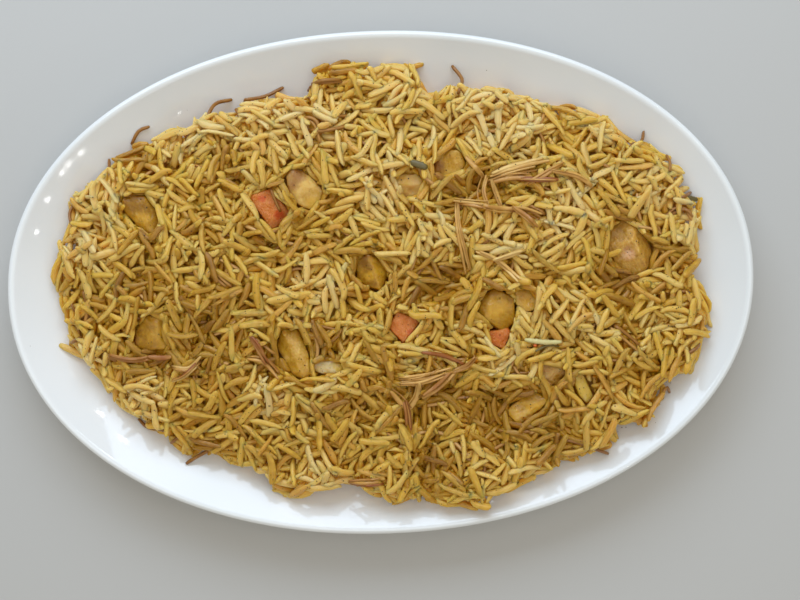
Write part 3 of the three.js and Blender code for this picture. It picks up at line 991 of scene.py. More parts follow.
def drape(surface: HeightField, x: Array, y: Array, radius: float, rounds: int) -> Array:
    """Lays a thin strand over the heap.

    Args:
        surface: The heap so far.
        x: Places of the strand's points along the platter.
        y: Places across the platter.
        radius: The strand's radius.
        rounds: How stiff the strand is.

    Returns:
        The height of each point.
    """
    beside = np.array([-0.6, 0.0, 0.6])[:, None] * radius
    steps = np.stack([np.gradient(x), np.gradient(y)])
    steps = steps / np.maximum(np.linalg.norm(steps, axis=0), 1e-6)
    under = surface.sample(x - beside * steps[1], y + beside * steps[0]).max(0)
    rest = under + 0.8 * radius
    height = rest.copy()
    for _ in range(rounds):
        height[1:-1] = np.maximum(rest[1:-1], (height[:-2] + height[2:]) / 2)
    return height


def lay(surface: HeightField, path: Array, radius: float) -> None:
    """Raises the heap under a strand.

    Args:
        surface: The heap so far.
        path: The strand's points.
        radius: The strand's radius.
    """
    steps = np.gradient(path[:, :2], axis=0)
    steps = steps / np.maximum(np.linalg.norm(steps, axis=1, keepdims=True), 1e-6)
    for share in (-0.7, -0.35, 0.0, 0.35, 0.7):
        x = path[:, 0] - share * radius * steps[:, 1]
        y = path[:, 1] + share * radius * steps[:, 0]
        cells = surface.cells(x, y)
        np.maximum.at(surface.z, cells, path[:, 2] + radius * math.sqrt(1 - share * share))


def even_path(points: Array, spacing: float) -> Array:
    """Spaces points evenly along a line.

    Args:
        points: The line's points.
        spacing: Distance between the new points.

    Returns:
        The new points.
    """
    lengths = np.concatenate([[0], np.cumsum(np.linalg.norm(np.diff(points, axis=0), axis=1))])
    count = max(int(lengths[-1] / spacing) + 1, 4)
    at = np.linspace(0, lengths[-1], count)
    return np.stack([np.interp(at, lengths, points[:, axis]) for axis in range(points.shape[1])], 1)


def smooth_route(route: Array, count: int = 60) -> Array:
    """Runs a smooth curve through a few points.

    Args:
        route: The points.
        count: Number of points wanted.

    Returns:
        Points on the curve.
    """
    ends = np.concatenate([[2 * route[0] - route[1]], route, [2 * route[-1] - route[-2]]])
    spans = len(route) - 1
    places = np.linspace(0, spans, count)
    index = np.minimum(places.astype(int), spans - 1)
    part = (places - index)[:, None]
    before, start, end, after = (ends[index + shift] for shift in range(4))
    bent = 2 * before - 5 * start + 4 * end - after
    twist = 3 * start - before - 3 * end + after
    return 0.5 * (2 * start + (end - before) * part + bent * part**2 + twist * part**3)


def tube(path: Array, across: Array, thick: Array, sides: int, roll: float = 0.0) -> tuple[Array, Array]:
    """Makes a rod with an oval section along a path.

    Args:
        path: Points of the middle line.
        across: Half width at each point.
        thick: Half thickness at each point.
        sides: Corners of a section.
        roll: Turn of the section's corners in radians.

    Returns:
        Corners and triangles.
    """
    forward = np.gradient(path, axis=0)
    forward /= np.maximum(np.linalg.norm(forward, axis=1, keepdims=True), 1e-9)
    side = np.stack([-forward[:, 1], forward[:, 0], np.zeros(len(path))], 1)
    side /= np.maximum(np.linalg.norm(side, axis=1, keepdims=True), 1e-9)
    up = np.cross(forward, side)
    angle = np.linspace(0, 2 * math.pi, sides, endpoint=False) + roll
    wide = side[:, None] * (across[:, None] * np.cos(angle))[..., None]
    high = up[:, None] * (thick[:, None] * np.sin(angle))[..., None]
    rings = (path[:, None] + wide + high).reshape(-1, 3)
    tips = np.stack([
        path[0] - forward[0] * across[0] * 0.6,
        path[-1] + forward[-1] * across[-1] * 0.6,
    ])
    return np.concatenate([rings, tips]), ring_faces(len(path), sides)


def tube_marks(points: int, sides: int) -> dict[str, Array]:
    """Gives the marks along and round a rod made by tube.

    Args:
        points: Number of points in its path.
        sides: Corners of its section.

    Returns:
        Marks by name.
    """
    along = np.repeat(np.linspace(-1, 1, points), sides)
    around = np.tile(np.arange(sides) / sides, points)
    return {"along": np.append(along, [-1, 1]), "around": np.append(around, [0, 0])}


@dataclass
class RiceHeap:
    """The heap: a bed of deep rice, rice grains that settle on one another, and vermicelli."""

    dish: DishForm
    heap: HeapForm
    grain_length: tuple[float, float] = (12.6, 18.0)
    grain_radius: tuple[float, float] = (1.04, 1.48)
    broken_share: float = 0.18
    softness: float = 0.52
    gap_softness: float = 1.05
    gap_grains: int = 2300
    bed_depth: float = 6.6
    sunk: float = 2.8
    grain_limit: int = 9000
    crossing_bunches: int = 3600
    crossing_strands: float = 0.022
    standing_grains: int = 150
    edge_share: float = 0.972
    banked: float = 2.2
    overlap: float = 0.9
    dark_patch_dent: float = 1.8
    grain_sides: int = 8
    vermicelli_radius: float = 0.82
    vermicelli_share: float = 0.1
    specks: int = 1700
    seed: int = 7
    surface: HeightField = field(default_factory=HeightField)
    grains: list[Grain] = field(default_factory=list)
    strands: list[Array] = field(default_factory=list)
    edges: list[Array] = field(default_factory=list)

    def __post_init__(self) -> None:
        """Prepares the surfaces that the rice fills."""
        self.random = np.random.default_rng(self.seed)
        x, y = self.surface.x, self.surface.y
        self.glaze = self.dish.inner(x, y)
        depth = self.heap.thickness(x, y)
        unevenness = wave_relief(41)
        points = np.stack([x, y, np.zeros_like(x)], -1)
        lumps = unevenness(points / 15) * 0.8
        lumps += unevenness(points / 6 + 3) * 1.2 + unevenness(points / 3.4 + 8) * 1.1
        self.darkening = 0.42 * unevenness(points / 17 + 4)
        # Patches where the rice is coloured darker and lies lower, and with a strength below 0 paler and
        # higher.
        for patch_x, patch_y, reach, strength in TONE_PATCHES:
            away = np.hypot(x - patch_x, y - patch_y) / reach
            self.darkening += 1.75 * strength * (1 - ease(away, 0.2, 1.5))
        lumps -= self.dark_patch_dent * self.darkening
        self.goal = self.glaze + np.maximum(depth - self.sunk + lumps * ease(depth, 3, 12), 0)
        self.bed = self.glaze + np.maximum(depth - self.bed_depth, 0)
        self.surface.z = self.bed.copy()
        self.keep_clear = np.zeros(x.shape, bool)
        self.shares = self.heap.share(x, y) + 0.016 * unevenness(points / 4.2 + 21)
        for spot_x, spot_y, reach, change in RIM_CHANGES:
            away = np.hypot(x - spot_x, y - spot_y) / reach
            self.shares += change * (1 - ease(away, 0.4, 1.2))
        self.headings = unevenness(points / 26 + 9) * 1.9

    def set_down(self, pieces: list[bpy.types.Object]) -> None:
        """Enters pieces into the heap, which the rice then lies round.

        Args:
            pieces: The diced and torn pieces.
        """
        for piece in pieces:
            corners = np.empty(len(piece.data.vertices) * 3, np.float32)
            piece.data.vertices.foreach_get("co", corners)
            corners = corners.reshape(-1, 3) / MILLIMETRE
            upper = corners[corners[:, 2] > corners[:, 2].min() + 0.4 * np.ptp(corners[:, 2])]
            center = upper[:, :2].mean(0)
            spread = float(np.ptp(upper[:, :2], axis=0).mean()) / 2
            inner = (upper[:, :2] - center) * (1 - self.overlap / spread) + center
            for shift in ((0, 0), (0.25, 0.25), (-0.25, 0.25), (0.25, -0.25), (-0.25, -0.25)):
                cells = self.surface.cells(inner[:, 0] + shift[0], inner[:, 1] + shift[1])
                np.maximum.at(self.surface.z, cells, upper[:, 2])
                self.keep_clear[cells] = True
            middle = upper.mean(0)
            self.edges.append(self.walk_round(upper[:, :2]))
            away = np.hypot(self.surface.x - middle[0], self.surface.y - middle[1])
            self.goal += self.banked * (1 - ease(away, spread, spread + 9))
    @staticmethod
    def walk_round(points: Array) -> Array:
        """Walks round a piece seen from above.

        Args:
            points: The piece's corners seen from above.

        Returns:
            Points on its edge in order.
        """
        middle = points.mean(0)
        angle = np.arctan2(points[:, 1] - middle[1], points[:, 0] - middle[0])
        away = np.hypot(points[:, 0] - middle[0], points[:, 1] - middle[1])
        parts = ((angle + math.pi) / (2 * math.pi) * 24).astype(int) % 24
        reach = np.array([away[parts == part].max() for part in range(24)])
        turns = (np.arange(24) + 0.5) / 24 * 2 * math.pi - math.pi
        return middle + np.stack([np.cos(turns), np.sin(turns)], 1) * reach[:, None]

    def hug_pieces(self) -> None:
        """Lays grains close along the edges of the pieces."""
        random = self.random
        for edge in self.edges:
            steps = np.roll(edge, -1, axis=0) - np.roll(edge, 1, axis=0)
            out = np.stack([steps[:, 1], -steps[:, 0]], 1) / np.linalg.norm(steps, axis=1, keepdims=True)
            for index in random.permutation(len(edge)):
                if random.random() < 0.35:
                    continue
                x, y = edge[index] + out[index] * random.uniform(0.4, 1.3)
                heading = math.atan2(steps[index, 1], steps[index, 0])
                swing = random.normal(0, 0.22) if random.random() < 0.75 else random.normal(1.57, 0.4)
                self.drop_grain(float(x), float(y), heading + swing, 2.6)

    def fill_gaps(self, places: Array) -> None:
        """Beds short and deep grains in the gaps that are left between the others.

        Args:
            places: Rows and columns where grains may lie.
        """
        random, firm = self.random, self.softness
        self.softness = self.gap_softness
        for number in range(self.gap_grains):
            if number % 250 == 0:
                level = self.level_top()
            picks = places[:, random.integers(places.shape[1], size=20)]
            depth = level[picks[0], picks[1]] - self.surface.z[picks[0], picks[1]]
            row, column = picks[:, int(depth.argmax())]
            x, y = float(self.surface.x[row, column]), float(self.surface.y[row, column])
            self.drop_grain(x, y, random.uniform(0, math.pi), 9.0)
        self.softness = firm

    def rest(self, x: Array, y: Array, turn: Array, half: float, radius: float) -> tuple[Array, Array]:
        """Finds how grains come to rest on what lies under them.

        Args:
            x: Places of the trial grains along the platter.
            y: Places across the platter.
            turn: Their headings.
            half: Half of the grain's length.
            radius: The grain's radius.

        Returns:
            Height of the middle and slope of each trial grain.
        """
        along = np.linspace(-0.9, 0.9, 9)
        thick = radius * rod_profile(along)
        across = np.array([-0.45, 0.0, 0.45])
        cosine, sine = np.cos(turn)[:, None, None], np.sin(turn)[:, None, None]
        forward = (along * half)[None, None]
        sideways = (across[:, None] * thick)[None]
        under = self.surface.sample(
            x[:, None, None] + cosine * forward - sine * sideways,
            y[:, None, None] + sine * forward + cosine * sideways,
        )
        lift = (np.sqrt(1 - across**2)[None, :, None] - self.softness) * thick
        need = (under + lift).max(1)
        left, middle, right = need[:, :4], need[:, 4], need[:, 5:]
        back, ahead = along[:4] * half, along[5:] * half
        run = ahead[None, None] - back[None, :, None]
        crossing = (left[:, :, None] * ahead - right[:, None] * back[None, :, None]) / run
        flat = crossing.reshape(len(x), -1)
        best = flat.argmax(1)
        first, second = best // 4, best % 4
        rows = np.arange(len(x))
        height = flat[rows, best]
        slope = (right[rows, second] - left[rows, first]) / (ahead[second] - back[first])
        steepest = ((right - middle[:, None]) / ahead).max(1)
        gentlest = ((left - middle[:, None]) / back).min(1)
        tipped = np.where(np.abs(steepest) < np.abs(gentlest), steepest, gentlest)
        pivots = middle > height
        return np.where(pivots, middle, height), np.where(pivots, tipped, slope)

    def blocked(self, x: Array, y: Array, turn: Array, half: float) -> Array:
        """Tells which trial grains would hide a piece that shows, or leave the heap."""
        along = np.linspace(-1, 1, 7)[None] * half
        cells = self.surface.cells(
            x[:, None] + np.cos(turn)[:, None] * along, y[:, None] + np.sin(turn)[:, None] * along
        )
        outside = self.shares[cells].max(1) > self.edge_share + self.random.choice((0.0, 0.01, 0.024))
        return self.keep_clear[cells].any(1) | outside

    def drop_bunch(self, places: Array, trials: int, least: float, highest: float) -> bool:
        """Lays a few grains side by side where the heap is low.

        Args:
            places: Rows and columns where grains may lie.
            trials: Number of places that are tried for the lowest one.
            least: How far that place has to lie under the heap's level.
            highest: How far a grain may lie over the heap's level.

        Returns:
            False where no grain found room.
        """
        random, surface = self.random, self.surface
        picks = places[:, random.integers(places.shape[1], size=trials)]
        room = self.goal[picks[0], picks[1]] - surface.z[picks[0], picks[1]]
        if room.max() < least:
            return False
        row, column = picks[:, int(room.argmax())]
        turn = self.headings[row, column] + random.normal(0, 0.9)
        count = int(random.choice(5, p=(0.28, 0.22, 0.22, 0.18, 0.1))) + 1
        pitch = random.uniform(2.0, 2.6)
        laid = 0
        for index in range(count):
            across = (index - (count - 1) / 2) * pitch
            along = random.normal(0, 2.2) if count > 1 else 0.0
            x = surface.x[row, column] + along * math.cos(turn) - across * math.sin(turn)
            y = surface.y[row, column] + along * math.sin(turn) + across * math.cos(turn)
            laid += self.drop_grain(x, y, turn + random.normal(0, 0.1), highest)
        return laid > 0

    def drop_grain(self, x: float, y: float, turn: float, highest: float) -> bool:
        """Lays one grain near a place.

        Args:
            x: Place along the platter.
            y: Place across the platter.
            turn: Heading in radians.
            highest: How far its middle may lie over the heap's level.

        Returns:
            False where no room was found.
        """
        random, surface = self.random, self.surface
        half = random.uniform(*self.grain_length) / 2
        if random.random() < self.broken_share:
            half *= random.uniform(0.42, 0.78)
        radius = random.uniform(*self.grain_radius)
        tries_x, tries_y, turns = np.array([x]), np.array([y]), np.array([turn])
        for spread, swing in ((1.1, 0.16), (0.5, 0.07)):
            tries_x = np.append(tries_x, tries_x[0] + random.normal(0, spread, 6))
            tries_y = np.append(tries_y, tries_y[0] + random.normal(0, spread, 6))
            turns = np.append(turns, turns[0] + random.normal(0, swing, 6))
            height, slope = self.rest(tries_x, tries_y, turns, half, radius)
            goal = self.goal[surface.cells(tries_x, tries_y)]
            score = height - goal + 0.6 * np.abs(slope) + 40.0 * (np.abs(slope) > 0.85)
            score = score + random.normal(0, 0.35, len(score))
            score = score + 60.0 * self.blocked(tries_x, tries_y, turns, half)
            best = int(np.argmin(score))
            tries_x, tries_y, turns = tries_x[best:best + 1], tries_y[best:best + 1], turns[best:best + 1]
            found = float(score[best]), float(height[best]), float(slope[best])
        if found[0] > highest:
            return False
        bow = float(np.clip(random.normal(0, 0.9), -1.9, 1.9)) * half / 7
        _, height, slope = found
        half /= math.hypot(1, slope)
        x, y, turn = float(tries_x[0]), float(tries_y[0]), float(turns[0])
        self.press(Grain(x, y, height, turn, slope, half, radius, bow))
        return True

    def stand_grain(self, places: Array) -> None:
        """Stands one grain up between the others.

        Args:
            places: Rows and columns where grains may lie.
        """
        random = self.random
        row, column = places[:, random.integers(places.shape[1])]
        x, y = float(self.surface.x[row, column]), float(self.surface.y[row, column])
        slope = float(random.choice([-1, 1]) * random.uniform(0.6, 2.4))
        half = float(random.uniform(*self.grain_length)) / 2 / math.hypot(1, slope)
        height = float(self.surface.z[row, column]) - 0.45 * abs(slope) * half
        turn = float(random.uniform(0, math.pi))
        if height - abs(slope) * half < self.glaze[row, column] + 2.5:
            return
        radius = float(random.uniform(*self.grain_radius))
        self.press(Grain(x, y, height, turn, slope, half, radius, 0.0))

    def press(self, grain: Grain) -> None:
        """Keeps a grain and raises the heap by it.

        Args:
            grain: The grain.
        """
        self.grains.append(grain)
        surface = self.surface
        row, column = (int(cell) for cell in surface.cells(np.array(grain.x), np.array(grain.y)))
        reach = int((grain.half + grain.radius) / surface.pitch) + 2
        patch = np.s_[max(row - reach, 0):row + reach + 1, max(column - reach, 0):column + reach + 1]
        dx, dy = surface.x[patch] - grain.x, surface.y[patch] - grain.y
        cosine, sine = math.cos(grain.turn), math.sin(grain.turn)
        along = (dx * cosine + dy * sine) / grain.half
        across = dy * cosine - dx * sine - grain.bow * (0.5 - along**2)
        thick = grain.radius * rod_profile(along)
        inside = thick**2 - across**2
        top = grain.z + grain.slope * along * grain.half + np.sqrt(np.maximum(inside, 0))
        surface.z[patch] = np.maximum(surface.z[patch], np.where(inside > 0, top, 0.0))

    def throw_strand(self, places: Array, length: float) -> None:
        """Lays one strand of vermicelli somewhere on the heap.

        Args:
            places: Rows and columns where it may start.
            length: Its length.
        """
        random = self.random
        row, column = places[:, random.integers(places.shape[1])]
        heading = random.uniform(0, 2 * math.pi)
        curl = random.normal(0, 0.035) + np.cumsum(random.normal(0, 0.005, 80))
        headings = heading + np.cumsum(curl[: max(int(length), 6)])
        steps = np.stack([np.cos(headings), np.sin(headings)], 1)
        route = np.cumsum(steps, axis=0) + [self.surface.x[row, column], self.surface.y[row, column]]
        self.lay_strand(route, 14)

    def lay_chosen(self, routes: tuple[Route, ...]) -> None:
        """Lays strands whose places are chosen, some of them in pairs.

        Args:
            routes: Points of each strand seen from above.
        """
        for route in routes:
            line = smooth_route(np.array(route, float))
            self.lay_strand(line, 60, float(self.random.uniform(-0.7, 0.7)), chosen=True)
            if self.random.random() < 0.4:
                beside = self.random.choice((-1.1, 1.1), 2) * self.random.uniform(0.8, 1.3, 2)
                self.lay_strand(line[6:-8] + beside, 30)

    def lay_strand(self, route: Array, rounds: int, lift: float = 0.0, chosen: bool = False) -> bool:
        """Lays a strand of vermicelli along a route.

        Args:
            route: Its points seen from above.
            rounds: How stiff it is.
            lift: How far its far end stands up, or sinks in.
            chosen: Whether it lies there whatever it crosses.

        Returns:
            False where it would cross a piece or leave the platter.
        """
        surface = self.surface
        route = even_path(route, 1.0)
        cells = surface.cells(route[:, 0], route[:, 1])
        astray = self.keep_clear[cells].any() or (self.shares[cells] > 0.96).any()
        if astray and not chosen:
            return False
        height = drape(surface, route[:, 0], route[:, 1], self.vermicelli_radius, rounds)
        height = height + lift * np.linspace(0, 1, len(route)) ** 2
        if np.abs(np.diff(height)).max() > 1.1 and not chosen:
            return False
        path = np.column_stack([route, height])
        lay(surface, path, self.vermicelli_radius)
        self.strands.append(path)
        return True

    def fill(self, strands: tuple[Route, ...]) -> None:
        """Lets grains and vermicelli settle until the heap has its form.

        Args:
            strands: Routes of the strands whose places are chosen.
        """
        places = np.array(np.nonzero((self.shares < 0.985) & ~self.keep_clear))
        misses = 0
        while len(self.grains) < self.grain_limit and misses < 60:
            if not self.drop_bunch(places, 14, 0.25, 2.2):
                misses += 1
                continue
            misses = 0
            laid = len(self.grains) / self.grain_limit
            if laid > 0.2 and self.random.random() < self.vermicelli_share:
                self.throw_strand(places, float(self.random.uniform(10, 32)))
        self.hug_pieces()
        for number in range(self.crossing_bunches):
            if number == int(self.crossing_bunches * 0.7):
                self.lay_chosen(strands)
            self.drop_bunch(places, 4, -9.0, 4.0)
            if self.random.random() < self.crossing_strands:
                self.throw_strand(places, float(self.random.uniform(6, 16)))
        self.hug_pieces()
        self.fill_gaps(places)
        for _ in range(self.standing_grains):
            self.stand_grain(places)

    def level_top(self) -> Array:
        """Evens out the finished heap, to tell how deep something lies in it.

        Returns:
            The mean height round each cell of the grid.
        """
        reach = int(2.5 / self.surface.pitch)
        top = self.surface.z
        for axis in (0, 1):
            padded = np.pad(top, [(reach + 1, reach) if side == axis else (0, 0) for side in (0, 1)], "edge")
            sums = np.cumsum(padded, axis=axis)
            width = 2 * reach + 1
            low = np.take(sums, np.arange(0, sums.shape[axis] - width), axis=axis)
            high = np.take(sums, np.arange(width, sums.shape[axis]), axis=axis)
            top = (high - low) / width
        return top

    def grain_values(self) -> dict[str, Array]:
        """Returns the values of all grains as arrays by name."""
        return dict(zip(Grain._fields, np.array(self.grains).T))

    def shown(self) -> Array:
        """Tells which grains show.

        Returns:
            True for each grain that isn't wholly buried.
        """
        rods = self.grain_values()
        along = np.linspace(-0.9, 0.9, 9)[None] * rods["half"][:, None]
        x = rods["x"][:, None] + np.cos(rods["turn"])[:, None] * along
        y = rods["y"][:, None] + np.sin(rods["turn"])[:, None] * along
        top = rods["z"][:, None] + rods["slope"][:, None] * along + rods["radius"][:, None]
        return (self.surface.sample(x, y) - top).min(1) < 1.5

    def grain_corners(self, rods: dict[str, Array]) -> tuple[Array, dict[str, Array]]:
        """Works out the corners of many grains at once.

        Args:
            rods: Places and sizes of the grains.

        Returns:
            Corners for each grain, and marks for each corner.
        """
        random = np.random.default_rng(self.seed + 90)
        count = len(rods["x"])
        along = np.array(GRAIN_STATIONS)
        angle = np.linspace(0, 2 * math.pi, self.grain_sides, endpoint=False)
        ends = random.uniform(0.2, 1.0, (count, 2))
        blunt = np.where(along[None] < 0, ends[:, :1], ends[:, 1:])
        profile = (1 - np.abs(along[None]) ** (2.0 + 4.6 * blunt)) ** (0.64 - 0.26 * blunt)
        profile = profile * (1 + random.normal(0, 0.11, (count, 1)) * along[None])
        square = (np.abs(np.cos(angle)) ** 2.7 + np.abs(np.sin(angle)) ** 2.7) ** (-1 / 2.7)
        lobes = square + 0.05 * np.cos(3 * angle + random.uniform(0, 2 * math.pi, (count, 1)))
        lobes = lobes[:, None] + random.normal(0, 0.05, (count, len(along), 1))
        lobes = lobes + random.normal(0, 0.035, (count, len(along), self.grain_sides))
        thick = rods["radius"][:, None, None] * profile[..., None] * lobes
        forward = np.stack([np.cos(rods["turn"]), np.sin(rods["turn"]), rods["slope"]], 1)
        side = np.stack([-np.sin(rods["turn"]), np.cos(rods["turn"]), np.zeros(count)], 1)
        up = np.cross(forward, side)
        up /= np.linalg.norm(up, axis=1, keepdims=True)
        middle = np.stack([rods["x"], rods["y"], rods["z"]], 1)
        wave = random.normal(0, 0.3, (count, 1)) * np.sin(math.pi * along[None])
        bend = rods["bow"][:, None] * (0.5 - along[None] ** 2) + wave
        sag = random.normal(0, 0.22, (count, 1)) * (0.5 - along[None] ** 2)
        line = (
            middle[:, None]
            + forward[:, None] * (rods["half"][:, None] * along[None])[..., None]
            + side[:, None] * bend[..., None]
            + up[:, None] * sag[..., None]
        )
        oval = random.uniform(0.1, 0.26, (count, 1, 1))
        roll = random.normal(0, 0.5, (count, 1))
        broad = side * np.cos(roll) + up * np.sin(roll)
        narrow = up * np.cos(roll) - side * np.sin(roll)
        slant = random.normal(0, 0.4, (count, 1, 1)) * np.abs(along[None, :, None]) ** 6
        rings = (
            line[:, :, None]
            + forward[:, None, None] * (thick * slant * np.cos(angle + 1.0))[..., None]
            + broad[:, None, None] * (thick * (1 + oval) * np.cos(angle))[..., None]
            + narrow[:, None, None] * (thick * (1 - oval) * np.sin(angle))[..., None]
        )
        tips = [
            middle + forward * (rods["half"] * end)[:, None] - side * (0.5 * rods["bow"])[:, None]
            for end in (-1, 1)
        ]
        corners = np.concatenate([rings.reshape(count, -1, 3), np.stack(tips, 1)], 1)
        marks = tube_marks(len(along), self.grain_sides)
        return corners, marks

    def build_grains(self) -> list[bpy.types.Object]:
        """Builds the rice, one piece for each shade.

        Returns:
            The pieces.
        """
        shown = self.shown()
        rods = {name: values[shown] for name, values in self.grain_values().items()}
        random = np.random.default_rng(self.seed + 60)
        corners, marks = self.grain_corners(rods)
        share = self.heap.share(rods["x"], rods["y"])
        darkening = self.darkening[self.surface.cells(rods["x"], rods["y"])]
        odds = {
            RiceKind.SAFFRON: 0.24 + 0.2 * ease(share, 0.6, 0.95),
            RiceKind.GOLD: np.full(len(share), 0.38),
            RiceKind.PALE: 0.22 - 0.1 * ease(share, 0.7, 0.95) - 0.1 * np.clip(darkening, -0.8, 0.8),
            RiceKind.BROWNED: 0.14 + 0.13 * np.clip(darkening, -0.8, 1.2),
        }
        limits = np.cumsum(np.stack(list(odds.values())), axis=0)
        draw = random.random(len(share)) * limits[-1]
        kinds = (draw[None] > limits).sum(0)
        levels = np.clip(random.normal(0.54, 0.12, len(share)) - 0.62 * darkening, 0.0, 1.0)
        cells = self.surface.cells(corners[..., 0], corners[..., 1])
        # How deep each corner lies under the heap's even top; the finish paints deeper corners brighter, as
        # painted light in the gaps.
        buried = ease(self.level_top()[cells] - corners[..., 2], -0.9, 3.2)
        faces = ring_faces(len(GRAIN_STATIONS), self.grain_sides)
        per_grain = corners.shape[1]
        pieces = []
        for index, kind in enumerate(odds):
            chosen = np.nonzero(kinds == index)[0]
            numbers = faces[None] + (np.arange(len(chosen)) * per_grain)[:, None, None]
            values = {name: np.tile(mark, len(chosen)) for name, mark in marks.items()}
            values["grain_tint"] = np.repeat(levels[chosen], per_grain)
            values["buried"] = buried[chosen].ravel()
            finish = RiceFinish(kind.value, *RICE_SHADES[kind]).build()
            places = corners[chosen].reshape(-1, 3)
            piece = link_mesh(kind.value, places, numbers.reshape(-1, 3), finish, values)
            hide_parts("rice_heap")
            pieces.append(piece)
        return pieces

    def build_bed(self) -> bpy.types.Object:
        """Builds the rice deep in the heap, a low dome that stands on the glaze.

        Returns:
            The bed's object.
        """
        relief = wave_relief(77)
        turns, steps = 160, 50
        angle = np.linspace(0, 2 * math.pi, turns, endpoint=False)
        shares = np.sqrt(np.linspace(0.02, 1, steps)) * 0.945
        probe_x, probe_y = self.heap.half_length * np.cos(angle), self.heap.half_width * np.sin(angle)
        scale = 1 / self.heap.share(probe_x, probe_y)
        scale = scale / self.shares[self.surface.cells(scale * probe_x, scale * probe_y)]
        x = shares[:, None] * (probe_x * scale)[None]
        y = shares[:, None] * (probe_y * scale)[None]
        points = np.stack([x, y, np.zeros_like(x)], -1)
        crumb = relief(points / 1.3) * 0.5 + relief(points / 3.1 + 5) * 0.5
        depth = np.maximum(self.heap.thickness(x, y) - self.bed_depth - 0.6, 0.3)
        top = self.dish.inner(x, y) + depth + crumb * ease(depth, 0.6, 4)
        rings = np.stack([x, y, top], -1)[::-1]
        floor = self.dish.inner(x, y) + 0.05
        rings = np.concatenate([np.stack([x, y, floor], -1)[8::11], rings]).reshape(-1, 3)
        count = len(rings) // turns
        middle = np.array([[0, 0, self.dish.well_height + 0.05], [0, 0, top[0].mean()]])
        faces = ring_faces(count, turns)
        piece = link_mesh("rice_bed", np.concatenate([rings, middle]), faces, BedFinish().build())
        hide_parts("rice_heap")
        return piece

    def build_vermicelli(self) -> bpy.types.Object:
        """Builds all of the vermicelli as one piece.

        Returns:
            The vermicelli's object.
        """
        random = np.random.default_rng(self.seed + 30)
        bundle = Bundle()
        for path in self.strands:
            points = even_path(path, 1.7)
            thick = self.vermicelli_radius * random.uniform(0.85, 1.12)
            radii = np.full(len(points), thick)
            radii[[0, -1]] *= 0.8
            corners, faces = tube(points, radii, radii * 0.94, 6, random.uniform(0, 1))
            toasted = ease(self.heap.share(points[:, 0], points[:, 1]).max(), 0.85, 1.0)
            level = random.uniform(0.15, 0.8) * (1 - 0.8 * toasted)
            bundle.add(corners, faces, grain_tint=level, **tube_marks(len(points), 6))
        piece = bundle.link("toasted_vermicelli", VERMICELLI.build())
        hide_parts("rice_heap")
        return piece

    def build_specks(self) -> bpy.types.Object:
        """Builds the ground pepper on the rice, and the few specks on the glaze.

        Returns:
            The specks' object.
        """
        random = np.random.default_rng(self.seed + 28)
        share = self.heap.share(self.surface.x, self.surface.y)
        rows, columns = np.nonzero(share < 0.97)
        picks = random.integers(len(rows), size=self.specks)
        places = [(self.surface.x[rows[p], columns[p]], self.surface.y[rows[p], columns[p]]) for p in picks]
        places += [(54.6, 100.4), (129.5, -72.1), (-90.6, 86.6)]
        bundle = Bundle()
        base = np.array([[1, 0, 0], [0, 1, 0], [-1, 0, 0], [0, -1, 0], [0, 0, 1], [0, 0, -1]], float)
        numbers = [[0, 1, 4], [1, 2, 4], [2, 3, 4], [3, 0, 4], [1, 0, 5], [2, 1, 5], [3, 2, 5], [0, 3, 5]]
        for x, y in places:
            size = random.uniform(0.15, 0.4) * random.uniform(0.7, 1.2, 3)
            turn = random.uniform(0, math.pi)
            corners = base * size * [1, 1, 0.6]
            spun = np.stack([
                corners[:, 0] * math.cos(turn) - corners[:, 1] * math.sin(turn),
                corners[:, 0] * math.sin(turn) + corners[:, 1] * math.cos(turn),
                corners[:, 2],
            ], 1)
            ground = max(float(self.surface.sample(np.array(x), np.array(y))), 0)
            bundle.add(spun + [x, y, ground + 0.05], np.array(numbers), grain_tint=random.random())
        piece = bundle.link("pepper_specks", SpeckFinish().build())
        return piece


@dataclass
class Scraps:
    """Small scraps that lie on the rice: leaf, stalk and crumbs."""

    bits: tuple[tuple[Route, float, float, float], ...]

    def build(self, surface: HeightField) -> bpy.types.Object:
        """Builds the scraps and lays them on the heap.

        Args:
            surface: The heap so far.

        Returns:
            The scraps' object.
        """
        random = np.random.default_rng(SCRAP_SEED)
        bundle = Bundle()
        for route, half, thick, shade in self.bits:
            points = even_path(smooth_route(np.array(route)), 0.8)
            height = drape(surface, points[:, 0], points[:, 1], thick, 30) + 0.2
            shape = 0.3 + 0.7 * np.sqrt(np.sin(np.pi * np.linspace(0.08, 0.92, len(points))))
            shape = shape * random.uniform(0.85, 1.1, len(points))
            path = np.column_stack([points, height])
            corners, faces = tube(path, half * shape, thick * shape, 8)
            bundle.add(corners, faces, grain_tint=shade)
        piece = bundle.link("herb_scraps", ScrapFinish().build())
        return piece


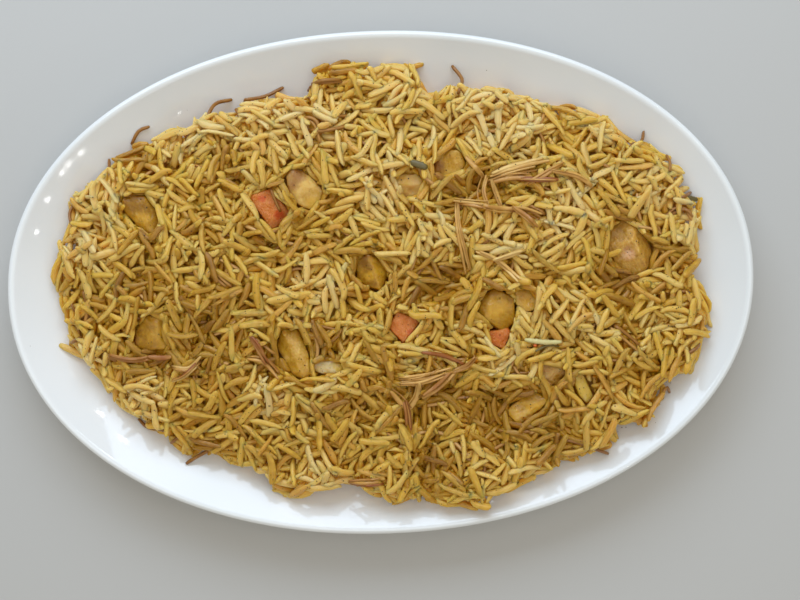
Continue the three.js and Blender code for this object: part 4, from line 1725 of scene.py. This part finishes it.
@dataclass
class ShredBundle:
    """Pulled chicken: strips of fibres, each with its width, that replace a solid."""

    node: str
    strips: tuple[tuple[Route, float], ...]
    paleness: float = 0.5
    thickness: float = 1.0

    def build(self, surface: HeightField, finish: bpy.types.Material, seed: int) -> bpy.types.Object:
        """Builds the bundle and lays it on the heap.

        Args:
            surface: The heap so far.
            finish: The material.
            seed: The seed of its unevenness.

        Returns:
            The bundle's object.
        """
        random = np.random.default_rng(seed)
        bundle = Bundle()
        for route, width in self.strips:
            middle = smooth_route(np.array(route))
            fibres = max(int(round(width / 1.35)), 1)
            for index in range(fibres):
                offset = (index - (fibres - 1) / 2) * width / fibres
                self.add_fibre(bundle, surface, middle, offset, width / fibres, random)
            if random.random() < 0.6:
                self.add_fibre(bundle, surface, middle, random.normal(0, width * 0.6), 0.6, random)
        piece = bundle.link(self.node + "_fibres", finish)
        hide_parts(self.node)
        return piece

    def add_fibre(
        self,
        bundle: Bundle,
        surface: HeightField,
        middle: Array,
        offset: float,
        width: float,
        random: np.random.Generator,
    ) -> None:
        """Lays one fibre beside the middle of its strip.

        Args:
            bundle: Where the fibre is kept.
            surface: The heap so far.
            middle: The strip's middle line.
            offset: Distance to the side.
            width: The fibre's width.
            random: Source of its unevenness.
        """
        start, stop = random.uniform(0, 0.08), 1 - random.uniform(0, 0.12)
        line = middle[int(start * len(middle)):max(int(stop * len(middle)), 8)]
        steps = np.gradient(line, axis=0)
        steps /= np.maximum(np.linalg.norm(steps, axis=1, keepdims=True), 1e-6)
        part = np.linspace(0, 1, len(line))
        fan = offset * (0.75 + 0.5 * part) + random.normal(0, 0.35) * np.sin(part * random.uniform(2, 5))
        route = even_path(line + np.stack([-steps[:, 1], steps[:, 0]], 1) * fan[:, None], 0.9)
        half = width * random.uniform(0.56, 0.74)
        thick = min(half, self.thickness / 2) * random.uniform(0.85, 1.1)
        height = drape(surface, route[:, 0], route[:, 1], thick, 30) + 0.1
        path = np.column_stack([route, height])
        shape = 0.25 + 0.75 * np.sqrt(np.sin(np.pi * np.clip(np.linspace(0.04, 0.96, len(path)), 0, 1)))
        corners, faces = tube(path, half * shape, thick * shape, 8, random.uniform(0, 1))
        lay(surface, path, thick)
        level = np.clip(random.normal(self.paleness, 0.16), 0, 1)
        bundle.add(corners, faces, grain_tint=level, **tube_marks(len(path), 8))


@dataclass(frozen=True)
class StudioLight:
    """One lamp of the studio."""

    name: str
    place: tuple[float, float, float]
    size: tuple[float, float]
    watts: float
    colour: tuple[float, float, float] = (1.0, 1.0, 1.0)

    def build(self, aim: Vector) -> None:
        """Hangs the lamp and turns it to the platter."""
        lamp = bpy.data.lights.new(self.name, "AREA")
        lamp.shape = "RECTANGLE"
        lamp.size, lamp.size_y = self.size
        lamp.energy = self.watts
        lamp.color = self.colour
        holder = bpy.data.objects.new(self.name, lamp)
        holder.location = self.place
        holder.rotation_euler = (aim - Vector(self.place)).to_track_quat("-Z", "Y").to_euler()
        bpy.context.scene.collection.objects.link(holder)


@dataclass
class Studio:
    """The floor, the lamps and the camera."""

    camera_distance: float = 0.62
    camera_target: tuple[float, float, float] = (0.0089, -0.0088, 0.027)
    camera_roll: float = 2.05
    lens: float = 58.65
    dish: DishForm = DishForm()
    glints: Route = (
        (-102, 82), (-92, 86), (-141, 67), (-150, 58), (-147, 62), (-158, 45),
        (-164, 30), (-157, -5), (-154, -26), (-150, -38), (-138, -58), (-127, -71),
    )
    glint_size: float = 0.028
    glint_watts: float = 0.07
    glint_reach: float = 1.3
    lamps: tuple[StudioLight, ...] = (
        StudioLight("window", (-0.1, 0.72, 0.62), (1.0, 0.56), 7.4, (0.68, 0.82, 1.0)),
        StudioLight("ceiling", (0.1, -0.1, 1.7), (1.8, 1.4), 8.0, (1.0, 0.965, 0.88)),
    )

    def build_floor(self) -> None:
        """Lays the pale floor."""
        floor_finish = Surface("pale_floor")
        colour = floor_finish.mix(floor_finish.noise(3.0, 2.0), tint(188, 187, 184), tint(194, 193, 190))
        floor_finish.put("Base Color", colour)
        floor_finish.put("Roughness", 0.8)
        mesh = bpy.data.meshes.new("floor")
        reach = 4.0
        mesh.from_pydata(
            [(-reach, -reach, 0), (reach, -reach, 0), (reach, reach, 0), (-reach, reach, 0)],
            [],
            [(0, 1, 2, 3)],
        )
        mesh.materials.append(floor_finish.material)
        floor = bpy.data.objects.new("floor", mesh)
        bpy.context.scene.collection.objects.link(floor)

    def build_camera(self) -> None:
        """Hangs the camera over the platter."""
        roll = math.radians(self.camera_roll)
        right = Vector((math.cos(roll), -math.sin(roll), 0))
        up = Vector((math.sin(roll), math.cos(roll), 0))
        back = right.cross(up)
        place = Vector(self.camera_target) + back * self.camera_distance
        data = bpy.data.cameras.new("camera")
        data.lens = self.lens
        data.sensor_width = 36.0
        data.clip_start, data.clip_end = 0.01, 50.0
        camera = bpy.data.objects.new("camera", data)
        axes = Matrix((right, up, back)).transposed().to_4x4()
        camera.matrix_world = Matrix.Translation(place) @ axes
        bpy.context.scene.collection.objects.link(camera)
        bpy.context.scene.camera = camera

    def mirror_place(self, x: float, y: float, step: float = 0.3) -> Vector:
        """Finds where a lamp hangs to show as a glint in the glaze.

        Args:
            x: The glint's place along the platter in millimetres.
            y: The glint's place across the platter in millimetres.
            step: How far beside it the glaze's slope is measured.

        Returns:
            The lamp's place in metres.
        """
        beside = np.array([0, step, -step, 0, 0])
        heights = self.dish.inner(x + beside, y + beside[[0, 3, 4, 1, 2]])
        slope_x = (heights[1] - heights[2]) / (2 * step)
        slope_y = (heights[3] - heights[4]) / (2 * step)
        normal = Vector((-slope_x, -slope_y, 1.0)).normalized()
        point = Vector((x, y, heights[0])) * MILLIMETRE
        eye = Vector(self.camera_target) + Vector((0, 0, self.camera_distance))
        ray = (point - eye).normalized()
        return point + (ray - 2 * ray.dot(normal) * normal) * self.glint_reach

    def build(self) -> None:
        """Sets up the whole studio."""
        self.build_floor()
        self.build_camera()
        for lamp in self.lamps:
            lamp.build(Vector((0.0, 0.0, 0.02)))
        size = (self.glint_size, self.glint_size)
        for index, (x, y) in enumerate(self.glints):
            lamp = StudioLight(f"glint_{index + 1}", tuple(self.mirror_place(x, y)), size, self.glint_watts)
            lamp.build(Vector((-0.13, 0, 0.02)))
        world = bpy.data.worlds.new("studio")
        world.use_nodes = True
        background = world.node_tree.nodes["Background"]
        background.inputs["Color"].default_value = (1.0, 0.968, 0.885, 1.0)
        background.inputs["Strength"].default_value = 0.4
        bpy.context.scene.world = world
        bpy.context.scene.view_settings.view_transform = "Standard"


DICE = (
    DicePiece(
        "potato_1", DiceKind.POTATO,
        ((-8.8, 7.5), (-8.3, 0.5), (-4.9, -5.3), (-0.3, -8.8), (2.6, -9.8), (7.9, -5.2),
         (9.0, -0.4), (5.3, 4.6), (-1.0, 9.8), (-5.3, 10.8)),
        ((235, 0.5, -1.5), (40, 0.7, -1.5), (325, 0.3, 0.4)), (135, 0.1, 0.3), 0.88,
        sharpness=20.0, relief=0.025, blush=((4, -6, 4),),
    ),
    DicePiece(
        "potato_2", DiceKind.POTATO,
        ((-9.4, 8.4), (-8.3, 1.6), (-2.8, -4.4), (3.8, -10.5), (9.8, -7.3), (6.4, 4.5), (2.2, 9.6),
         (-3.7, 10.0)),
        ((15, 0.5, -1.0), (225, 0.5, -1.0)), (150, 0.15, 0.8), 0.02, sharpness=20.0, relief=0.03,
        blush=((1, -3, 6),),
    ),
    DicePiece(
        "potato_3", DiceKind.POTATO,
        ((-7.2, 5.2), (-6.1, -3.7), (-1.3, -7.3), (5.5, -9.5), (9.2, 0.6), (5.0, 6.2), (-0.7, 8.8)),
        ((15, 0.7, -1.5), (200, 0.35, 0.6)), (100, 0.1, 0.72), 0.26, sharpness=20.0, relief=0.03,
        blush=((5, 1, 4), (0, -2, 3)),
    ),
    DicePiece(
        "potato_4", DiceKind.POTATO,
        ((-7.4, 2.3), (-4.2, -5.2), (1.9, -6.1), (7.7, -1.1), (4.5, 5.4), (-5.6, 5.4)),
        ((270, 0.6, 0.8), (90, 0.3, 0.5)), (90, 0.0, 0.7), 1.4, sharpness=13.0,
        blush=((-3, 2, 3),), dents=((1, -2.5, 3, 0.8),),
    ),
    DicePiece(
        "potato_5", DiceKind.POTATO,
        ((-8.9, -1.5), (-8.0, -5.5), (-2.9, -6.4), (5.2, -4.5), (7.7, -0.7), (5.6, 6.7),
         (-0.3, 6.7), (-4.7, 4.1)),
        ((200, 0.3, 0.8),), (190, 0.2, 0.6), 0.36, sharpness=18.0, relief=0.03,
    ),
    DicePiece(
        "potato_6", DiceKind.POTATO,
        ((-10.3, -2.1), (-6.1, -5.6), (3.2, -11.5), (9.1, -6.1), (8.4, 5.2), (-0.6, 10.5),
         (-7.1, 5.7)),
        ((300, 0.45, -1.0), (150, 0.5, -1.5), (60, 0.2, 0.2)), (250, -0.4, 0.5), 0.2, sharpness=20.0,
        relief=0.025, blush=((0, 1, 8),),
    ),
    DicePiece(
        "potato_7", DiceKind.POTATO,
        ((-6.5, -0.6), (-2.3, -5.4), (3.7, -3.9), (4.0, 5.4), (-6.2, 6.2)),
        ((60, 0.3, 0.5),), (0, 0, 2), 0.72, sharpness=20.0, relief=0.025, blush=((0, 0, 4),),
    ),
    DicePiece(
        "potato_8", DiceKind.POTATO,
        ((-8.3, -8.3), (7.5, -8.9), (7.3, 6.7), (-1.9, 8.5), (-8.0, 0.4)),
        ((180, 0.4, -0.5), (0, 0.7, -2.0), (90, 0.4, -1.5)), (190, 0.0, 0.7), 0.3, sharpness=22.0,
        relief=0.025, blush=((6, 0, 3), (5.5, 5, 3)),
    ),
    DicePiece(
        "potato_9", DiceKind.POTATO,
        ((-9.5, 4.3), (-2.2, -9.6), (3.1, -12.7), (7.6, -9.9), (6.0, 0.8), (1.5, 11.7), (-6.3, 12.5)),
        ((200, 0.6, -0.6), (30, 0.5, -0.8)), (200, -0.3, 0.5), 0.56, sharpness=18.0, relief=0.045,
    ),
    DicePiece(
        "potato_10", DiceKind.POTATO,
        ((-9.8, -0.1), (-8.4, -4.5), (-4.1, -7.1), (1.2, -4.8), (9.4, 2.7), (9.5, 6.1), (2.7, 8.2),
         (-4.9, 4.1)),
        ((120, 0.4, 0.2), (300, 0.5, -0.6)), (150, 0.0, 0.7), 0.62, sharpness=16.0, relief=0.05,
        blush=((3, 0, 5),), dents=((-2, 0, 4, 1.0),),
    ),
    DicePiece(
        "carrot_1", DiceKind.CARROT,
        ((-9.9, 6.5), (1.1, -10.7), (10.7, -2.6), (1.6, 10.0)),
        ((225, 0.12, 0.2), (318, 0.8, -2.8)), (215, -0.5, 0.35), 0.72, sharpness=30.0, relief=0.02,
        lump=1.6, blush=((-3, 5, 2.5), (5, -3, 3)),
    ),
    DicePiece(
        "carrot_2", DiceKind.CARROT,
        ((-7.7, -0.2), (-0.9, -8.0), (8.2, 3.1), (-3.8, 8.4)),
        ((20, 0.15, 0.2),), (330, -0.2, 0.6), 0.6, sharpness=28.0, relief=0.02, lump=1.6,
        blush=((3, -3, 3),),
    ),
    DicePiece(
        "carrot_3", DiceKind.CARROT,
        ((-7.2, 5.0), (-5.6, -1.2), (1.0, -4.6), (4.8, 3.4), (3.6, 6.2)),
        (), (200, -0.3, 0.6), 0.56, sharpness=18.0, relief=0.03,
    ),
    DicePiece(
        "chicken_chunk", DiceKind.CHICKEN,
        ((-13.0, -0.5), (-5.6, -10.5), (1.5, -14.7), (6.6, -11.4), (9.8, -3.8), (9.5, 1.9),
         (1.5, 10.7), (-4.7, 14.3), (-8.2, 11.9)),
        ((15, 0.8, -1.5), (235, 0.4, 0.2), (130, 0.5, -1.5)), (15, 0.3, 0.5), 0.62, sharpness=22.0,
        relief=0.05, lump=1.9, blush=((-2, -3, 4),), dents=((-1.5, -1.5, 4.5, 1.8), (-5, 5, 3.5, 1.0)),
    ),
    DicePiece(
        "chicken_bit", DiceKind.CHICKEN,
        ((-6.1, 4.4), (-5.9, -1.3), (-1.0, -4.5), (2.8, -5.9), (6.0, 1.1), (1.2, 5.2)),
        ((120, 0.3, 0.6), (300, 0.4, 1.2)), (300, 0.2, 0.2), 1.1, sharpness=14.0, relief=0.1, lump=1.3,
    ),
    DicePiece(
        "onion_piece", DiceKind.ONION,
        ((-8.5, 2.0), (-8.1, -2.0), (-2.9, -3.6), (5.5, -3.4), (8.4, -0.5), (-1.1, 3.9)),
        ((70, 0.3, 0.3),), (0, 0.3, 0.7), 1.0, sharpness=12.0, relief=0.04, blush=((5, 0, 4.5),),
    ),
    DicePiece(
        "split_kernel", DiceKind.ONION,
        ((-5.3, 3.0), (-2.9, -3.9), (0.9, -7.9), (4.2, -4.1), (-1.0, 7.9), (-4.9, 7.4)),
        ((20, 0.4, 0.6),), (200, 0.2, 0.6), 0.7, sharpness=9.0, relief=0.03, blush=((0, 0, 9),),
    ),
)

DICE_FINISHES = {
    DiceKind.POTATO: DiceFinish(
        "potato_flesh", tint(150, 104, 14), tint(195, 148, 40), tint(222, 184, 104), tint(166, 116, 54),
        tint(212, 164, 46), 900.0, 0.36, 0.16, 0.85,
    ),
    DiceKind.CARROT: DiceFinish(
        "carrot_flesh", tint(182, 84, 10), tint(210, 122, 44), tint(232, 154, 88), tint(176, 104, 30),
        tint(214, 84, 32), 1300.0, 0.8, 0.12, 0.6,
    ),
    DiceKind.CHICKEN: DiceFinish(
        "chicken_flesh", tint(158, 110, 40), tint(202, 156, 66), tint(224, 182, 108), tint(190, 142, 52),
        tint(220, 172, 132), 1000.0, 0.6, 0.16, 0.7,
    ),
    DiceKind.ONION: DiceFinish(
        "onion_flesh", tint(168, 130, 44), tint(200, 164, 74), tint(226, 206, 154), tint(190, 148, 50),
        tint(218, 182, 56), 600.0, 0.25, 0.12, 0.8,
    ),
}

RICE_SHADES = {
    RiceKind.SAFFRON: (tint(162, 117, 28), tint(215, 171, 68), tint(229, 187, 105)),
    RiceKind.GOLD: (tint(164, 121, 34), tint(216, 174, 77), tint(230, 190, 115)),
    RiceKind.PALE: (tint(172, 132, 44), tint(220, 181, 93), tint(233, 198, 133)),
    RiceKind.BROWNED: (tint(142, 98, 26), tint(202, 153, 61), tint(218, 171, 90)),
}

VERMICELLI = FibreFinish(
    "toasted_vermicelli", tint(142, 92, 32), tint(190, 138, 64), tint(216, 174, 108), 1.0, 0.2
)
PULLED_CHICKEN = FibreFinish(
    "pulled_chicken", tint(150, 84, 30), tint(210, 160, 78), tint(234, 198, 120), 2.0
)

# Patches of the heap: middle, radius and how much darker and lower the rice lies, below 0 where the rice is
# pale and high.
TONE_PATCHES = (
    (13, -58, 11, 1.0), (29, -50, 8, 0.8), (69, -62, 10, 0.6), (-111, 36, 10, 0.6),
    (-104, -30, 9, 0.6), (-84, -22, 9, 0.5), (-47, -38, 12, 0.7), (-5, 7, 9, 0.6),
    (56, 47, 10, 0.5), (120, 10, 10, 0.3), (-135, -4, 8, 0.4), (20, -90, 16, 0.4),
    (-64, -49, 14, 0.3), (-17, -56, 12, 0.4), (84, -50, 12, 0.35), (-50, 79, 16, -0.8),
    (64, 73, 20, -0.8), (130, 37, 16, -0.7), (-29, 0, 12, -0.6), (104, -26, 12, -0.4),
    (-137, 49, 12, -0.4), (87, 36, 16, -0.2), (3, 96, 14, -0.5), (-103, 71, 10, -0.5),
    (-26, 78, 16, -0.7), (-83, 80, 14, -0.7), (116, 73, 14, -0.7), (50, 89, 14, -0.6),
    (1, 44, 12, -0.5), (57, 16, 18, -0.5), (-116, -52, 12, -0.5), (-112, 62, 9, 0.6),
    (-84, 37, 12, 0.2), (-56, 22, 12, 0.3), (54, -67, 14, 1.0), (82, -78, 12, 0.6),
    (113, -3, 12, 0.6), (-30, -30, 14, 0.8), (28, 0, 12, 0.6), (116, 33, 10, 0.6),
    (-112, 22, 10, 0.5), (-87, -16, 10, 0.4), (-1, -37, 10, 0.2), (-70, 58, 12, 0.4),
    (29, 19, 10, -0.6), (85, 20, 10, -0.6), (55, -39, 10, -0.5), (112, -60, 10, -0.5),
    (40, 40, 14, 0.5), (-114, 5, 10, 0.8), (112, -22, 10, 0.5), (-115, -33, 10, 0.5),
    (-87, -35, 10, 0.4), (-57, -54, 12, -0.7), (-95, 75, 12, -0.5), (113, 80, 14, -0.5),
    (147, 20, 10, -0.8), (-142, 22, 8, -0.8), (-142, -32, 8, -0.8), (-30, -93, 12, -0.7),
)

# Changes of the heap's edge: middle, radius and how far it draws in, below 0 where it reaches out.
RIM_CHANGES = (
    (27.5, 94.5, 8, 0.09), (-36, 94.5, 6, 0.07), (140, -55, 8, 0.07), (114.5, -74.5, 6, 0.06),
    (-20, -101, 9, 0.03), (152, 8, 12, 0.03), (152, -10, 12, 0.03), (146, -32, 9, 0.04),
    (147, 38, 7, 0.04), (-143, 22, 6, 0.05), (-144, -5, 6, 0.05), (-144, 48, 8, -0.06),
    (-155, -26, 7, -0.07), (-100, -77, 8, -0.04), (-50, -95.5, 10, -0.05), (0, 103, 8, -0.03),
    (21, 104.5, 5, -0.04), (-122, 62, 7, -0.03),
)

# Scraps: route, half width, half thickness and shade.
SCRAPS = (
    (((148.0, 35.5), (150.5, 34.6), (153.0, 34.2)), 1.3, 0.35, 0.1),
    (((16.5, 55.5), (20.0, 54.2), (23.5, 52.6)), 1.9, 0.8, 0.16),
    (((67.0, -29.5), (76.0, -31.0), (84.0, -31.2)), 1.3, 1.1, 0.7),
    (((71.5, -35.0), (77.5, -32.6), (83.0, -33.4)), 0.6, 0.5, 0.25),
    (((71.0, -32.2), (72.0, -32.6)), 0.9, 0.8, 1.0),
)

SHREDS = (
    ShredBundle("chicken_shreds_1", (
        (((52.9, 48.2), (64.9, 52.0), (81.9, 55.2)), 2.8),
        (((52.5, 45.6), (64.8, 49.2), (78.0, 51.5)), 2.2),
        (((52.0, 44.2), (62.0, 46.8), (75.0, 46.2)), 2.0),
        (((69.5, 43.0), (80.5, 49.0), (90.0, 53.2)), 2.2),
        (((66.0, 46.0), (76.0, 45.0), (85.5, 45.2)), 2.0),
        (((81.0, 49.2), (93.8, 46.5), (102.6, 41.0)), 2.0),
        (((50.5, 47.5), (46.5, 52.5), (42.0, 58.0)), 2.0),
        (((52.0, 48.5), (50.3, 41.0), (51.5, 33.0)), 2.4),
        (((53.8, 46.5), (55.8, 39.8), (58.8, 31.5)), 2.0),
        (((35.5, 36.5), (44.0, 34.6), (53.0, 32.6)), 2.2),
        (((48.0, 33.6), (57.0, 32.4), (66.0, 31.9)), 2.0),
        (((62.0, 32.6), (70.0, 31.2), (77.6, 27.9)), 2.2),
        (((63.0, 33.0), (68.6, 28.6), (74.9, 22.5)), 1.6),
        (((37.2, 37.2), (37.3, 22.0), (42.3, -1.8)), 2.8),
    ), 0.48),
    ShredBundle("chicken_shreds_2", (
        (((45.4, 12.9), (55.4, 7.2), (65.9, -2.6)), 2.4),
        (((53.0, 8.2), (60.7, 10.3), (67.8, 12.1)), 1.8),
    ), 0.8),
    ShredBundle("chicken_shreds_3", (
        (((6.3, -45.7), (20.5, -45.0), (34.4, -41.9)), 2.6),
        (((6.6, -48.3), (18.4, -47.8), (32.0, -43.4)), 2.2),
        (((17.3, -55.0), (25.0, -50.8), (34.0, -42.4)), 3.0),
        (((32.2, -43.4), (39.0, -41.1), (43.6, -36.1)), 2.2),
        (((17.4, -33.5), (28.5, -36.2), (39.5, -40.4)), 1.8),
        (((16.6, -48.2), (14.8, -55.4), (10.7, -62.5)), 2.0),
        (((2.6, -51.1), (6.7, -55.8), (10.6, -61.5)), 2.0),
        (((9.5, -56.7), (10.4, -62.9), (10.9, -70.5)), 3.0),
    ), 0.4),
    ShredBundle("chicken_shreds_4", (
        (((-131.5, -29.8), (-118.6, -32.6), (-106.3, -31.0)), 2.6),
        (((-112.0, -31.2), (-105.0, -32.2), (-99.5, -31.8)), 2.0),
    ), 0.3),
    ShredBundle("chicken_shreds_5", (
        (((-101.0, -36.8), (-91.6, -38.3), (-84.6, -32.6)), 3.0),
        (((-100.5, -43.3), (-93.8, -40.6), (-87.0, -35.4)), 2.2),
    ), 0.5),
    ShredBundle("chicken_shreds_6", (
        (((-63.6, -33.2), (-55.6, -35.2), (-48.6, -43.6)), 3.0),
        (((-62.2, -23.0), (-58.6, -29.0), (-53.6, -37.4)), 2.6),
    ), 0.25),
    ShredBundle("chicken_shreds_7", (
        (((-18.6, -94.4), (-10.6, -94.6), (-1.3, -94.0)), 3.4),
    ), 0.3),
)

# Routes of the vermicelli strands that lie in chosen places.
LOOSE_STRANDS = (
    ((-143, 45), (-147, 40), (-147, 35), (-145, 32), (-139, 33)),
    ((-89, 60), (-78, 55), (-66, 48)),
    ((-79, 16), (-77, 7), (-70, 0)),
    ((-76, 28), (-70, 24), (-65, 20)),
    ((-61, 28), (-53, 24), (-44, 19)),
    ((-116, 50), (-109, 56), (-100, 62)),
    ((-43, 10), (-38, 11), (-32, 10)),
    ((-43, 7), (-38, 8), (-33, 6)),
    ((-50, 46), (-48, 40), (-46, 35)),
    ((-149, -3), (-148, -6), (-146, -10)),
    ((-141, 2), (-140, -8), (-144, -17)),
    ((-139, 1), (-139, -7), (-142, -18)),
    ((-150, -24), (-148, -23), (-144, -21)),
    ((-116, 0), (-112, -4), (-108, -10)),
    ((-133, -11), (-124, -12), (-115, -13)),
    ((-89, -38), (-89, -47), (-90, -57)),
    ((-85, -34), (-78, -40), (-76, -51)),
    ((-81, -33), (-74, -39), (-71, -49)),
    ((-63, -22), (-57, -27), (-50, -33)),
    ((-79, -22), (-74, -20), (-69, -16)),
    ((-120, -62), (-115, -66), (-105, -67)),
    ((-123, -33), (-121, -38), (-118, -43)),
    ((-69, 91), (-76, 89), (-79, 84), (-81, 77)),
    ((-63, 90), (-53, 92), (-44, 96)),
    ((-67, 86), (-65, 83), (-65, 79)),
    ((-32, 94), (-25, 95), (-14, 96)),
    ((-36, 78), (-29, 76), (-26, 67)),
    ((-31, 73), (-24, 72), (-14, 74)),
    ((-12, 62), (-7, 58), (-1, 58), (4, 62)),
    ((-4, 66), (5, 66), (13, 63)),
    ((7, 82), (12, 79), (15, 74)),
    ((19, 57), (22, 49), (29, 43)),
    ((38, 103), (42, 97), (42, 93), (40, 88)),
    ((55, 90), (58, 85), (60, 81)),
    ((33, 77), (44, 80), (54, 83)),
    ((81, 78), (78, 70), (80, 63), (76, 57)),
    ((76, 73), (72, 70), (73, 62), (77, 57)),
    ((129, 68), (127, 63), (122, 59), (117, 56)),
    ((123, 62), (120, 59), (118, 57)),
    ((139, 56), (140, 52), (139, 48)),
    ((102, 54), (108, 52), (113, 48)),
    ((98, 54), (101, 49), (103, 44)),
    ((62, 32), (69, 28), (75, 22)),
    ((60, 35), (70, 34), (79, 29)),
    ((123, 22), (131, 20), (138, 15)),
    ((136, 25), (141, 30), (146, 30), (149, 24)),
    ((151, 38), (147, 36), (142, 34)),
    ((71, -18), (76, -13), (84, -12)),
    ((107, -25), (116, -33), (124, -40)),
    ((109, -24), (118, -31), (126, -39)),
    ((102, -40), (110, -41), (119, -41)),
    ((142, -40), (146, -38), (151, -35)),
    ((127, -54), (134, -50), (140, -45)),
    ((126, -64), (132, -58), (135, -55), (137, -58)),
    ((58, -74), (68, -73), (78, -76)),
    ((82, -53), (80, -61), (74, -70), (68, -74)),
    ((81, -77), (92, -80), (106, -86)),
    ((15, -60), (22, -59), (30, -58)),
    ((7, -76), (16, -72), (24, -72), (30, -75), (38, -83)),
    ((-7, -69), (3, -73), (12, -80)),
    ((33, -89), (41, -92), (50, -92)),
    ((-18, 25), (-10, 20), (-1, 18)),
    ((-63, 29), (-51, 23), (-37, 18)),
    ((-39, -17), (-28, -20), (-17, -23)),
    ((18, -33), (27, -37), (39, -38)),
    ((17, 11), (15, 6), (12, 1)),
    ((33, -8), (32, -18), (32, -29)),
    ((-109, 79), (-114, 77), (-118, 71)),
    ((-97, -84), (-92, -81), (-86, -78)),
    ((-104, -74), (-100, -71), (-93, -68), (-86, -68)),
    ((-87, 78), (-89, 73), (-91, 67)),
    ((-82, 77), (-85, 71), (-88, 64)),
    ((-129, 64), (-128, 59), (-125, 53)),
)


def main() -> None:
    """Builds the plate of biryani and its studio."""
    logging.basicConfig(level=logging.INFO, format="%(message)s")
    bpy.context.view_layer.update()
    dish = DishForm()
    pieces = [Platter(dish).build()]
    finishes = {kind: finish.build() for kind, finish in DICE_FINISHES.items()}
    cut = [piece.build(finishes[piece.kind], DICE_SEED + index) for index, piece in enumerate(DICE)]
    heap = RiceHeap(dish, HeapForm())
    heap.set_down(cut)
    heap.fill(LOOSE_STRANDS)
    LOG.info("grains laid: %d, strands laid: %d", len(heap.grains), len(heap.strands))
    flesh = PULLED_CHICKEN.build()
    shreds = [bundle.build(heap.surface, flesh, SHRED_SEED + index) for index, bundle in enumerate(SHREDS)]
    pieces += [*cut, *shreds, Scraps(SCRAPS).build(heap.surface), *heap.build_grains()]
    pieces += [heap.build_bed(), heap.build_vermicelli(), heap.build_specks()]
    for piece in pieces:
        LOG.info("%s: %d faces", piece.name, len(piece.data.polygons))
    Studio().build()


if __name__ == "__main__":
    main()
